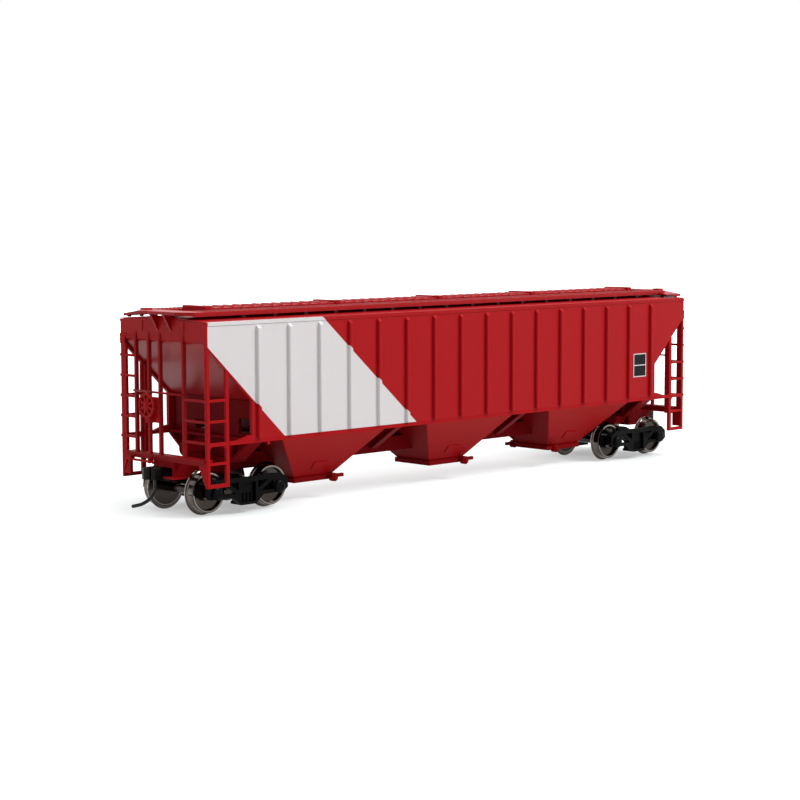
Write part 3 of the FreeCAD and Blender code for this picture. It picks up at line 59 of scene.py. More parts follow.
class Value:
    """A shader value that adds Math nodes when it is calculated with."""

    def __init__(self, shader: "Shader", socket: bpy.types.NodeSocket) -> None:
        """Wraps one output socket.

        Args:
            shader: The material under construction.
            socket: The output that this value stands for.
        """
        self.shader = shader
        self.socket = socket

    def math(self, operation: str, *others: "Value | float") -> "Value":
        """Adds one Math node.

        Args:
            operation: Blender's name of the operation.
            others: The further operands.

        Returns:
            The result as a value.
        """
        inputs = dict(enumerate((self, *others)))
        return self.shader.out("ShaderNodeMath", {"operation": operation}, inputs)

    def __add__(self, other: "Value | float") -> "Value":
        """Sum."""
        return self.math("ADD", other)

    __radd__ = __add__

    def __sub__(self, other: "Value | float") -> "Value":
        """Difference."""
        return self.math("SUBTRACT", other)

    def __rsub__(self, other: float) -> "Value":
        """Difference from a number."""
        settings = {"operation": "SUBTRACT"}
        return self.shader.out("ShaderNodeMath", settings, {0: other, 1: self})

    def __mul__(self, other: "Value | float") -> "Value":
        """Product."""
        return self.math("MULTIPLY", other)

    __rmul__ = __mul__

    def __truediv__(self, other: "Value | float") -> "Value":
        """Quotient."""
        return self.math("DIVIDE", other)

    def step(self, edge: float, soft: float) -> "Value":
        """Rises from 0 to 1 around an edge.

        Args:
            edge: Where the value is one half.
            soft: Width of the rise.

        Returns:
            The clamped ramp.
        """
        ramp = (self - edge) / soft + 0.5
        return ramp.math("MAXIMUM", 0.0).math("MINIMUM", 1.0)

    def between(self, low: float, high: float, soft: float) -> "Value":
        """One inside a band and zero outside it."""
        return self.step(low, soft) * (1.0 - self.step(high, soft))


class Shader:
    """The nodes of a material or of a world under construction."""

    def __init__(self, owner: bpy.types.Material | bpy.types.World) -> None:
        """Starts with no nodes.

        Args:
            owner: The material or world that the nodes belong to.
        """
        self.owner = owner
        owner.use_nodes = True
        self.tree = owner.node_tree
        self.tree.nodes.clear()

    def node(
        self, kind: str, settings: Settings | None = None, inputs: Settings | None = None
    ) -> bpy.types.Node:
        """Adds a node.

        Args:
            kind: The node's type.
            settings: Its properties.
            inputs: Numbers, colours or values for its sockets, by name or number.

        Returns:
            The new node.
        """
        made = self.tree.nodes.new(kind)
        for key, value in (settings or {}).items():
            setattr(made, key, value)
        for key, value in (inputs or {}).items():
            socket = made.inputs[key]
            if isinstance(value, Value):
                self.tree.links.new(value.socket, socket)
            elif isinstance(value, tuple) and socket.type == "RGBA":
                socket.default_value = (*value, 1.0)
            else:
                socket.default_value = value
        return made

    def out(
        self,
        kind: str,
        settings: Settings | None = None,
        inputs: Settings | None = None,
        output: int | str = 0,
    ) -> Value:
        """Adds a node and returns one of its outputs as a value."""
        return Value(self, self.node(kind, settings, inputs).outputs[output])

    def mix(self, factor: "Value | float", low: "Value | RGB", high: "Value | RGB") -> Value:
        """Mixes two colours.

        Args:
            factor: 0 for the first colour and 1 for the second.
            low: The first colour.
            high: The second colour.

        Returns:
            The mixed colour.
        """
        inputs = {MIX_FACTOR: factor, MIX_LOW: low, MIX_HIGH: high}
        return self.out("ShaderNodeMix", {"data_type": "RGBA"}, inputs, MIX_RESULT)

    def place(self) -> tuple[Value, Value, Value, Value]:
        """Reads the object coordinates.

        Returns:
            The coordinates as a vector in metres, then X, Y and Z in millimetres.
        """
        vector = self.out("ShaderNodeTexCoord", output="Object")
        parts = self.node("ShaderNodeSeparateXYZ", inputs={0: vector})
        x, y, z = (Value(self, parts.outputs[i]) / MM for i in range(3))
        return vector, x, y, z

    def noise(
        self, vector: Value, size: float, detail: float = SMOOTH, stretch: RGB = (1.0, 1.0, 1.0)
    ) -> Value:
        """Adds soft noise.

        Args:
            vector: Coordinates in metres.
            size: Size of one patch in millimetres.
            detail: Octaves of finer noise.
            stretch: Scale along each axis.

        Returns:
            Noise from 0 to 1.
        """
        scaled = self.out("ShaderNodeMapping", inputs={"Vector": vector, "Scale": stretch})
        inputs = {"Vector": scaled, "Scale": 1.0 / (size * MM), "Detail": detail}
        return self.out("ShaderNodeTexNoise", {"noise_dimensions": "3D"}, inputs)

    def lines(self, along: Value) -> Value:
        """Adds noise that changes along one value only.

        Args:
            along: The value, with one line or so to each whole number.

        Returns:
            Noise from 0 to 1.
        """
        inputs = {"W": along, "Scale": 1.0, "Detail": SMOOTH}
        return self.out("ShaderNodeTexNoise", {"noise_dimensions": "1D"}, inputs)

    def bump(self, height: Value, depth: float) -> Value:
        """Turns a height into a bump.

        Args:
            height: Height from 0 to 1.
            depth: Height of the bump in millimetres.

        Returns:
            The bumped normal.
        """
        inputs = {"Strength": 1.0, "Distance": depth * MM, "Height": height}
        return self.out("ShaderNodeBump", inputs=inputs)

    def surface(self, **inputs: "Value | float | RGB") -> bpy.types.Material:
        """Closes the material with a Principled shader.

        Args:
            inputs: Its sockets, with underscores for spaces.

        Returns:
            The finished material.
        """
        named = {key.replace("_", " "): value for key, value in inputs.items()}
        shader = self.out("ShaderNodeBsdfPrincipled", inputs=named)
        self.node("ShaderNodeOutputMaterial", inputs={"Surface": shader})
        return self.owner


# -------------------------------------------------------------------- finishes
@dataclass(frozen=True)
class SatinPlastic:
    """Moulded styrene with a satin skin and faint flow marks. Sizes are in millimetres."""

    name: str
    colour: RGB
    roughness: float = 0.4
    mottle: float = 0.07
    grain: float = 0.006
    specular: float = 0.3
    broad_patch: float = 22.0
    fine_patch: float = 1.4
    gloss_patch: float = 9.0
    gloss_range: float = 0.12
    grain_size: float = 0.22

    def tone(self, shader: Shader, vector: Value, colour: "Value | RGB") -> Value:
        """Varies a colour as a thin coat of paint does.

        Args:
            shader: The material under construction.
            vector: Object coordinates.
            colour: The plain colour.

        Returns:
            The varied colour.
        """
        broad = shader.noise(vector, self.broad_patch)
        fine = shader.noise(vector, self.fine_patch, ROUGH)
        level = 1.0 + (broad - 0.5) * self.mottle + (fine - 0.5) * (self.mottle * 0.5)
        grey = shader.out("ShaderNodeCombineXYZ", inputs={0: level, 1: level, 2: level})
        plain = colour if isinstance(colour, Value) else shader.mix(0.0, colour, colour)
        settings = {"operation": "MULTIPLY"}
        return shader.out("ShaderNodeVectorMath", settings, {0: plain, 1: grey})

    def skin(
        self, shader: Shader, vector: Value, colour: "Value | RGB", **more: "Value | float"
    ) -> bpy.types.Material:
        """Finishes the material with the satin gloss and the grain of the skin.

        Args:
            shader: The material under construction.
            vector: Object coordinates.
            colour: The colour before its faint mottle.
            more: Further sockets of the surface.

        Returns:
            The finished material.
        """
        patchy = shader.noise(vector, self.gloss_patch, ROUGH)
        grain = shader.noise(vector, self.grain_size)
        return shader.surface(
            Base_Color=self.tone(shader, vector, colour),
            Roughness=self.roughness + (patchy - 0.5) * self.gloss_range,
            Specular_IOR_Level=self.specular,
            Normal=shader.bump(grain, self.grain),
            **more,
        )

    def material(self) -> bpy.types.Material:
        """Builds the finish.

        Returns:
            The new material.
        """
        shader = Shader(bpy.data.materials.new(self.name))
        vector, _, _, _ = shader.place()
        return self.skin(shader, vector, self.colour)


@dataclass(frozen=True)
class SlopeShadePaint(SatinPlastic):
    """Paint of a slope sheet: a sheen on the slope, and painted shade, dark and flat, on the
    bulkhead behind it.

    Millimetres. The bulkhead and all that it hides lie nearer to mid-car than its face.
    """

    # Painted shade: the dark red of the bulkhead and of all that it hides.
    shade: RGB = (0.17, 0.003, 0.0045)
    bulkhead_x: float = 79.3
    bulkhead_soft: float = 0.1
    sheen: float = 0.36
    sheen_roughness: float = 0.22

    def material(self) -> bpy.types.Material:
        """Builds the finish.

        Returns:
            The new material.
        """
        shader = Shader(bpy.data.materials.new(self.name))
        vector, x, _, _ = shader.place()
        # Painted shade: nearer to mid-car than the bulkhead's face, the colour turns to the dark
        # shade.
        slope = x.math("ABSOLUTE").step(self.bulkhead_x, self.bulkhead_soft)
        return self.skin(
            shader,
            vector,
            shader.mix(slope, self.shade, self.colour),
            Coat_Weight=slope * self.sheen,
            Coat_Roughness=self.sheen_roughness,
        )


@dataclass(frozen=True)
class WalkShadePaint(SatinPlastic):
    """Paint of the roof walk, in millimetres: its feet and lower edges carry painted shade."""

    # Painted shade: the shade colour on the feet, and the edge colour on the boards' lower edges.
    shade: RGB = (0.09, 0.001, 0.002)
    edge: RGB = (0.33, 0.002, 0.0045)
    foot_z: float = 50.18
    foot_soft: float = 0.1
    edge_z: float = 51.0
    edge_soft: float = 0.35
    end_x: float = 91.0
    end_soft: float = 1.0

    def material(self) -> bpy.types.Material:
        """Builds the finish.

        Returns:
            The new material.
        """
        shader = Shader(bpy.data.materials.new(self.name))
        vector, x, _, z = shader.place()
        # Painted shade: a darker red below edge_z, and the shade colour on the feet below foot_z,
        # inboard of end_x.
        colour = shader.mix(z.step(self.edge_z, self.edge_soft), self.edge, self.colour)
        low = 1.0 - z.step(self.foot_z, self.foot_soft)
        inboard = 1.0 - x.math("ABSOLUTE").step(self.end_x, self.end_soft)
        return self.skin(shader, vector, shader.mix(low * inboard, colour, self.shade))


@dataclass(frozen=True)
class BayLightAndShadePaint(SatinPlastic):
    """Paint of a bay, in millimetres, with painted light and shade: the sides are a pale bright
    red at the top, painted light for the floor's bounce and reflection, and darken downwards as
    painted shade, and the end slopes carry a deeper painted shade.

    A side leans in from side_y at high_z to foot_y at low_z, and its paint reaches side_skin
    into the bay.
    """

    # Painted shade: shade at the foot of the sides, and slope on the end slopes.
    shade: RGB = (0.43, 0.003, 0.006)
    slope: RGB = (0.27, 0.0045, 0.0065)
    high_z: float = 18.35
    low_z: float = 6.2
    side_y: float = 16.4
    foot_y: float = 6.5
    side_skin: float = 0.35
    side_soft: float = 0.15

    def material(self) -> bpy.types.Material:
        """Builds the finish.

        Returns:
            The new material.
        """
        shader = Shader(bpy.data.materials.new(self.name))
        vector, _, y, z = shader.place()
        height = self.high_z - self.low_z
        rise = (z - self.low_z) * (1.0 / height)
        outward = y.math("ABSOLUTE") - (rise * (self.side_y - self.foot_y) + self.foot_y)
        # Painted light and shade: the sides run from the bright colour at the top down to the
        # shade colour.
        light = z.step((self.high_z + self.low_z) / 2.0, height)
        side = shader.mix(light, self.shade, self.colour)
        # Painted shade: away from the sides, on the end slopes, the colour turns to slope.
        on_side = outward.step(-self.side_skin, self.side_soft)
        return self.skin(shader, vector, shader.mix(on_side, self.slope, side))


@dataclass(frozen=True)
class BandedPaint(SatinPlastic):
    """Side paint with a slanted light band and one small framed dark panel.

    Millimetres. The band lies at the left of each side, as seen from that side.
    """

    band: RGB = (0.7, 0.672, 0.676)
    dark: RGB = (0.005, 0.005, 0.008)
    side_y: float = 17.3
    top_z: float = 49.0
    roof_z: float = 60.0
    right_top_x: float = -56.2
    right_slant: float = 1.138
    left_top_z: float = 43.0
    left_x: float = -94.0
    left_slant: float = 1.04
    slant_soft: float = 0.08
    end_soft: float = 0.06
    line_soft: float = 0.05
    panel_x: tuple[float, float] = (70.05, 76.05)
    panel_z: tuple[float, float] = (25.75, 32.85)
    panel_line: float = 0.28

    def material(self) -> bpy.types.Material:
        """Builds the finish.

        Returns:
            The new material.
        """
        shader = Shader(bpy.data.materials.new(self.name))
        vector, x, y, z = shader.place()
        near = 1.0 - y.step(0.0, 1.0) * 2.0
        along = x * near
        below_roof = 1.0 - z.step(self.roof_z, self.line_soft)
        outside = y.math("ABSOLUTE").step(self.side_y, self.line_soft) * below_roof
        banded = self.banded(along, z) * outside
        colour = shader.mix(banded, self.colour, self.band)
        panel, fields = self.panel(along, z)
        colour = shader.mix(panel * outside, colour, self.band)
        colour = shader.mix(panel * outside * fields, colour, self.dark)
        return self.skin(shader, vector, colour)

    def banded(self, along: Value, z: Value) -> Value:
        """Finds the slanted band.

        Args:
            along: Place along the side, to the right.
            z: Height.

        Returns:
            1 inside the band.
        """
        right_line = along + (z - self.top_z) * self.right_slant
        left_line = along + (z - self.left_top_z) * self.left_slant
        right = 1.0 - right_line.step(self.right_top_x, self.slant_soft)
        left = left_line.step(self.left_x, self.slant_soft)
        return right * left * along.step(self.left_x, self.end_soft)

    def panel(self, along: Value, z: Value) -> tuple[Value, Value]:
        """Finds the small panel with its two fields, one over the other.

        Args:
            along: Place along the side, to the right.
            z: Height.

        Returns:
            1 inside the panel, and 1 inside its fields.
        """
        x0, x1 = self.panel_x
        z0, z1 = self.panel_z
        line, soft = self.panel_line, self.line_soft
        middle = (z0 + z1) / 2.0
        whole = along.between(x0, x1, soft) * z.between(z0, z1, soft)
        core = along.between(x0 + line, x1 - line, soft)
        lower = z.between(z0 + line, middle - line / 2, soft)
        upper = z.between(middle + line / 2, z1 - line, soft)
        return whole, core * (lower + upper)


@dataclass(frozen=True)
class TurnedMetal:
    """Turned wheel metal with a dark nickel plate and fine turning rings, and brighter rings at
    the tread and flange that are both worn polish and painted highlight lines.

    The centre is in metres, and all other lengths are in millimetres. The last number of each
    ring, of the flange and of stain_edge is the width over which it fades.
    """

    name: str
    centre_x: float
    centre_z: float
    colour: RGB = (0.05, 0.041, 0.037)
    # bright: worn polish that also serves as painted highlight lines.
    bright: RGB = (0.4, 0.36, 0.33)
    stained: RGB = (0.045, 0.036, 0.032)
    roughness: float = 0.13
    rings_per_mm: float = 9.0
    lines_per_mm: float = 7.0
    stain_patch: float = 2.6
    stain_share: float = 0.45
    stain_edge: tuple[float, float] = (0.6, 0.5)
    stain_gloss: float = 0.16
    outer_ring: tuple[float, float, float] = (5.2, 5.45, 0.1)
    outer_share: float = 0.3
    inner_ring: tuple[float, float, float] = (4.7, 4.95, 0.08)
    inner_share: float = 0.6
    flange: tuple[float, float] = (5.8, 0.06)
    ring_gloss: float = 0.1
    ring_share: float = 0.6
    mark_depth: float = 0.012

    def material(self) -> bpy.types.Material:
        """Builds the finish.

        Returns:
            The new material.
        """
        shader = Shader(bpy.data.materials.new(self.name))
        vector, x, y, z = shader.place()
        dx = x - self.centre_x / MM
        dz = z - self.centre_z / MM
        radius = (dx * dx + dz * dz).math("SQRT")
        rings = shader.lines(radius * self.rings_per_mm)
        across = shader.lines(y * self.lines_per_mm)
        stain = shader.noise(vector, self.stain_patch, ROUGH)
        # Worn polish and painted highlight: brighter metal in rings at the tread and at the
        # flange.
        outer = radius.between(*self.outer_ring) * self.outer_share
        inner = radius.between(*self.inner_ring) * self.inner_share
        polish_and_highlight_rings = outer + inner + radius.step(*self.flange)
        polish_and_highlight_metal = shader.mix(polish_and_highlight_rings, self.colour, self.bright)
        stained = stain.step(*self.stain_edge) * self.stain_share
        gloss = (stain - 0.5) * self.stain_gloss + (rings - 0.5) * self.ring_gloss
        marks = rings * self.ring_share + across * (1.0 - self.ring_share)
        return shader.surface(
            Base_Color=shader.mix(stained, polish_and_highlight_metal, self.stained),
            Metallic=1.0,
            Roughness=self.roughness + gloss,
            Normal=shader.bump(marks, self.mark_depth),
        )


@dataclass(frozen=True)
class WireSteel:
    """Drawn or rolled steel, bright or dulled, with fine draw marks. Millimetres."""

    name: str
    colour: RGB
    roughness: float = 0.35
    metallic: float = 1.0
    mark_size: float = 0.5
    mark_stretch: RGB = (1.0, 1.0, 0.2)
    mark_depth: float = 0.008
    cloud_size: float = 3.0
    cloud_level: float = 0.7
    gloss_range: float = 0.2

    def material(self) -> bpy.types.Material:
        """Builds the finish.

        Returns:
            The new material.
        """
        shader = Shader(bpy.data.materials.new(self.name))
        vector, _, _, _ = shader.place()
        marks = shader.noise(vector, self.mark_size, ROUGH, self.mark_stretch)
        cloud = shader.noise(vector, self.cloud_size)
        low = tuple(c * self.cloud_level for c in self.colour)
        return shader.surface(
            Base_Color=shader.mix(cloud, low, self.colour),
            Metallic=self.metallic,
            Roughness=self.roughness + (marks - 0.5) * self.gloss_range,
            Normal=shader.bump(marks, self.mark_depth),
        )


RED: RGB = (0.385, 0.0065, 0.0095)
BLACK: RGB = (0.0018, 0.0016, 0.0017)
# The plain red of the moulded parts; it carries no painted shade.
MOULDED_RED = SatinPlastic("red_moulded_plastic", RED, 0.4, specular=0.05)
# A darker copy of RED: painted shade on the end frame.
END_FRAME_PAINTED_SHADE = SatinPlastic("red_end_frame_painted_shade", (0.3, 0.0065, 0.009), 0.4, specular=0.06)
ROOF_RED = SatinPlastic("red_roof_plastic", RED, 0.36, specular=0.14)
WALK_RED = WalkShadePaint("red_walk_painted_shade", RED, 0.36, specular=0.14)
SLOPE_RED = SlopeShadePaint("red_slope_sheet_painted_shade", RED, 0.4, specular=0.03)
# The bay's red is paler and brighter than RED: painted light standing in for the floor's bounce
# and its reflection.
BAY_PAINTED_LIGHT_AND_SHADE = BayLightAndShadePaint("red_bay_painted_light_and_shade", (0.56, 0.022, 0.022), 0.42, specular=0.03)
# A darker copy of RED: painted shade for the parts that lie under the car.
DARK_RED_PAINTED_SHADE = SatinPlastic(
    "red_painted_shade_plastic", (0.24, 0.0045, 0.0065), 0.5, specular=0.03
)
SIDE_PAINT = BandedPaint("red_side_paint_with_band", RED, 0.38, specular=0.08)
EAVE_PAINT = BandedPaint(
    "red_roof_paint_with_band", RED, 0.36, specular=0.14, side_y=17.4, roof_z=49.95
)
TRUCK_BLACK = SatinPlastic(
    "black_truck_plastic", BLACK, 0.4, mottle=0.3, grain=0.012, specular=0.05
)
COUPLER_BLACK = SatinPlastic(
    "brown_black_coupler_plastic",
    (0.005, 0.0038, 0.0034),
    0.36,
    mottle=0.35,
    grain=0.014,
    specular=0.1,
)
BLACK_WIRE = WireSteel("blackened_steel_wire", (0.014, 0.014, 0.015), 0.38, 0.6)
BRIGHT_STEEL = WireSteel("bright_screw_steel", (0.5, 0.49, 0.48), 0.3)
PLAIN_STEEL = WireSteel("oxidised_weight_steel", (0.03, 0.013, 0.012), 0.75, 0.0)


# ----------------------------------------------------------------- mesh helpers
WELD_MM = 0.002
BEVEL_ANGLE = 40.0
BEVEL_STEPS = 2
MERGE_MM = 1e-4
WIRE_SIDES = 6
SMOOTH_ANGLE = 35.0
UP = Vector((0.0, 0.0, 1.0))


class Edge(Enum):
    """How far the moulded edges of a part are rounded, in millimetres."""

    NONE = 0.0
    FINE = 0.06
    SOFT = 0.12


def dress(nodes: list[str], material: bpy.types.Material, edge: Edge = Edge.NONE) -> None:
    """Gives CAD nodes their finish and softens their edges.

    Args:
        nodes: Names of the nodes.
        material: The finish.
        edge: How far the edges are rounded.
    """
    for name in nodes:
        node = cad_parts[name]
        for index in range(len(node.material_slots)):
            node.material_slots[index].material = material
        if not node.material_slots:
            node.data.materials.append(material)
        if edge is not Edge.NONE:
            weld = node.modifiers.new("weld", "WELD")
            weld.merge_threshold = WELD_MM * MM
            bevel = node.modifiers.new("soft_edges", "BEVEL")
            bevel.width = edge.value * MM
            bevel.segments = BEVEL_STEPS
            bevel.limit_method = "ANGLE"
            bevel.angle_limit = math.radians(BEVEL_ANGLE)
            bevel.harden_normals = True
            bevel.use_clamp_overlap = True
    log.info("dressed %d nodes with %s", len(nodes), material.name)


class Piece:
    """A new piece, collected in one bmesh in millimetres."""

    def __init__(self, name: str) -> None:
        """Starts an empty piece.

        Args:
            name: Name of the piece.
        """
        self.name = name
        self.mesh = bmesh.new()

    def block(self, low: Vector, high: Vector) -> list[bmesh.types.BMVert]:
        """Adds a block between two corners.

        Args:
            low: Lowest corner.
            high: Highest corner.

        Returns:
            The block's vertices.
        """
        size = Matrix.Diagonal((*(high - low), 1.0))
        spot = Matrix.Translation((low + high) / 2.0) @ size
        return bmesh.ops.create_cube(self.mesh, size=1.0, matrix=spot)["verts"]

    def disc(self, centre: Vector, axis: Vector, radius: float, depth: float, sides: int) -> None:
        """Adds a short many-sided bar.

        Args:
            centre: Middle of the bar.
            axis: Its direction.
            radius: Its radius over the corners.
            depth: Its length.
            sides: Number of sides.
        """
        bmesh.ops.create_cone(
            self.mesh,
            cap_ends=True,
            segments=sides,
            radius1=radius,
            radius2=radius,
            depth=depth,
            matrix=Matrix.Translation(centre) @ facing(axis),
        )

    def ring(self, centre: Vector, axis: Vector, radius: float, wire: float, steps: int) -> None:
        """Adds a ring of wire.

        Args:
            centre: Middle of the ring.
            axis: Its axis.
            radius: Radius of the wire's centre line.
            wire: Radius of the wire.
            steps: Number of steps round the ring.
        """
        side = axis.orthogonal().normalized()
        turn = Matrix.Translation(centre + side * radius) @ facing(axis.cross(side))
        circle = bmesh.ops.create_circle(
            self.mesh, cap_ends=False, segments=WIRE_SIDES, radius=wire, matrix=turn
        )["verts"]
        edges = list({e for v in circle for e in v.link_edges})
        bmesh.ops.spin(
            self.mesh,
            geom=circle + edges,
            cent=centre,
            axis=axis,
            angle=math.tau,
            steps=steps,
            use_merge=True,
        )

    def finish(
        self, material: bpy.types.Material, body: str, smooth: float = SMOOTH_ANGLE
    ) -> None:
        """Closes the piece as an object that rides on a body.

        Args:
            material: Its finish.
            body: The CAD body that it rides on.
            smooth: Greatest angle in degrees over which faces are shaded smooth.
        """
        bmesh.ops.remove_doubles(self.mesh, verts=self.mesh.verts, dist=MERGE_MM)
        bmesh.ops.recalc_face_normals(self.mesh, faces=self.mesh.faces)
        bmesh.ops.scale(self.mesh, vec=Vector((MM, MM, MM)), verts=self.mesh.verts)
        widest = math.radians(smooth)
        for face in self.mesh.faces:
            face.smooth = True
        for edge in self.mesh.edges:
            closed = len(edge.link_faces) == 2
            edge.smooth = closed and edge.calc_face_angle(math.pi) < widest
        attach(add_object(self.name, self.mesh, material), body)
        log.info("built %s on %s", self.name, body)


def facing(axis: Vector) -> Matrix:
    """Returns the turn that brings +Z to an axis."""
    return axis.to_track_quat("Z", "Y").to_matrix().to_4x4()


def add_object(
    name: str, mesh: bmesh.types.BMesh, material: bpy.types.Material
) -> bpy.types.Object:
    """Puts a bmesh into the scene as an object, and frees it.

    Args:
        name: Name of the object.
        mesh: Its shape, in metres.
        material: Its finish.

    Returns:
        The new object.
    """
    data = bpy.data.meshes.new(name)
    mesh.to_mesh(data)
    mesh.free()
    data.materials.append(material)
    made = bpy.data.objects.new(name, data)
    bpy.context.scene.collection.objects.link(made)
    return made


def box_mm(node: str) -> tuple[Vector, Vector]:
    """Returns a CAD node's corners in millimetres."""
    low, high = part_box(node)
    return low / MM, high / MM


# ---------------------------------------------------------------- sub-assemblies
ENDS = "ba"
BAYS = (1, 2, 3)
SIDES = (-1.0, 1.0)
COVERS = (1, 2, 3, 4)
AXLES = {"b": (1, 2), "a": (3, 4)}


def both(name: str) -> list[str]:
    """Returns the names of a node at both ends of the car."""
    return [f"{name}_{end}" for end in ENDS]


@dataclass
class CarBody:
    """Sides, ends, slope sheets, bays and underframe. Millimetres."""

    sill_line: float = 18.35
    gate_lip: float = 0.45
    bracket_z: float = 9.35
    bracket_size: tuple[float, float] = (4.8, 2.6)
    bracket_rise: float = 0.25
    sunk: float = 0.1

    def vibrator_brackets(self, number: int, paint: bpy.types.Material) -> None:
        """Builds the plain pads for a vibrator, one on each side of a bay.

        Args:
            number: Number of the bay.
            paint: The finish.
        """
        top_y = box_mm(f"hopper_bay_{number}")[1].y
        gate_low, gate_high = box_mm(f"outlet_gate_{number}")
        middle = (gate_low.x + gate_high.x) / 2.0
        foot_y = gate_high.y - self.gate_lip
        run = (top_y - foot_y) / (self.sill_line - gate_high.z)
        pad_y = foot_y + run * (self.bracket_z - gate_high.z)
        wide, tall = self.bracket_size
        low = Vector((-wide / 2, -tall / 2, -self.sunk))
        high = Vector((wide / 2, tall / 2, self.bracket_rise))
        pads = Piece(f"vibrator_brackets_{number}")
        for side in (-1.0, 1.0):
            up = Vector((0.0, side * run, 1.0)).normalized()
            along = Vector((-side, 0.0, 0.0))
            turn = Matrix((along, up, along.cross(up))).transposed().to_4x4()
            spot = Matrix.Translation((middle, side * pad_y, self.bracket_z)) @ turn
            bmesh.ops.transform(pads.mesh, matrix=spot, verts=pads.block(low, high))
        pads.finish(paint, "car")

    def build(self) -> None:
        """Dresses the body."""
        paint = SIDE_PAINT.material()
        red = MOULDED_RED.material()
        # The darker red is painted shade for the gates, gear, cross webs, sills, bolsters and
        # brake parts under the car.
        shaded_red = DARK_RED_PAINTED_SHADE.material()
        bays = BAY_PAINTED_LIGHT_AND_SHADE.material()
        dress(["body_shell"], paint, Edge.FINE)
        # Painted shade on the bulkheads behind the slope sheets.
        dress(both("slope_sheet"), SLOPE_RED.material(), Edge.FINE)
        # Painted light and shade on the bays.
        dress([f"hopper_bay_{i}" for i in BAYS], bays, Edge.FINE)
        gates = [f"outlet_gate_{i}" for i in BAYS]
        dress([*gates, "gate_gears", "cross_webs"], shaded_red, Edge.FINE)
        for number in BAYS:
            self.vibrator_brackets(number, bays)
        dress(["side_sills"], red, Edge.FINE)
        dress(["centre_sill", *both("draft_sill"), *both("body_bolster")], shaded_red, Edge.FINE)
        dress([*both("coupler_lid"), *both("uncoupling_lever")], red)
        # Painted shade: the end frame takes a darker red.
        dress(both("end_frame"), END_FRAME_PAINTED_SHADE.material(), Edge.SOFT)
        ladders = [f"corner_ladder_{end}_{side}" for end in ENDS for side in ("near", "far")]
        dress(ladders, red, Edge.SOFT)
        dress(["brake_gearbox", "brake_wheel"], red)
        dress(["air_reservoir", "control_valve", "brake_cylinder"], shaded_red)
        dress(["steel_weight"], PLAIN_STEEL.material())
        dress(["coupler_screws", "kingpin_screws"], BRIGHT_STEEL.material())


@dataclass
class Roof:
    """Roof, hatch covers and running boards with their tread. Millimetres."""

    bar_pitch: float = 1.25
    bar_width: float = 0.4
    bar_height: float = 0.1
    bar_sunk: float = 0.05
    board_y: tuple[float, float] = (6.0, 13.0)
    margin: float = 0.7
    end_margin: float = 4.6
    boards_below_top: float = 0.45

    def build(self) -> None:
        """Dresses the roof and builds the tread."""
        red = ROOF_RED.material()
        covers = [f"hatch_cover_{i}" for i in COVERS]
        dress(["roof_deck"], EAVE_PAINT.material(), Edge.FINE)
        # Painted shade on the walk's feet and lower edges.
        dress(["roof_walk"], WALK_RED.material(), Edge.SOFT)
        dress(["hatch_battens", *covers], red, Edge.SOFT)
        dress(["hatch_latches"], red, Edge.FINE)
        self.tread(red)

    def tread(self, red: bpy.types.Material) -> None:
        """Builds the raised tread bars on the running boards.

        Args:
            red: The finish.
        """
        top = box_mm("roof_walk")[1].z - self.boards_below_top
        reach = box_mm("body_shell")[1].x - self.end_margin
        inner, outer = self.board_y[0] + self.margin, self.board_y[1] - self.margin
        half = self.bar_width / 2
        count = int((2.0 * reach) / self.bar_pitch)
        tread = Piece("walk_tread")
        for side in SIDES:
            low_y, high_y = sorted((side * inner, side * outer))
            for index in range(count + 1):
                x = -reach + index * 2.0 * reach / count
                tread.block(
                    Vector((x - half, low_y, top - self.bar_sunk)),
                    Vector((x + half, high_y, top + self.bar_height)),
                )
        tread.finish(red, "car")


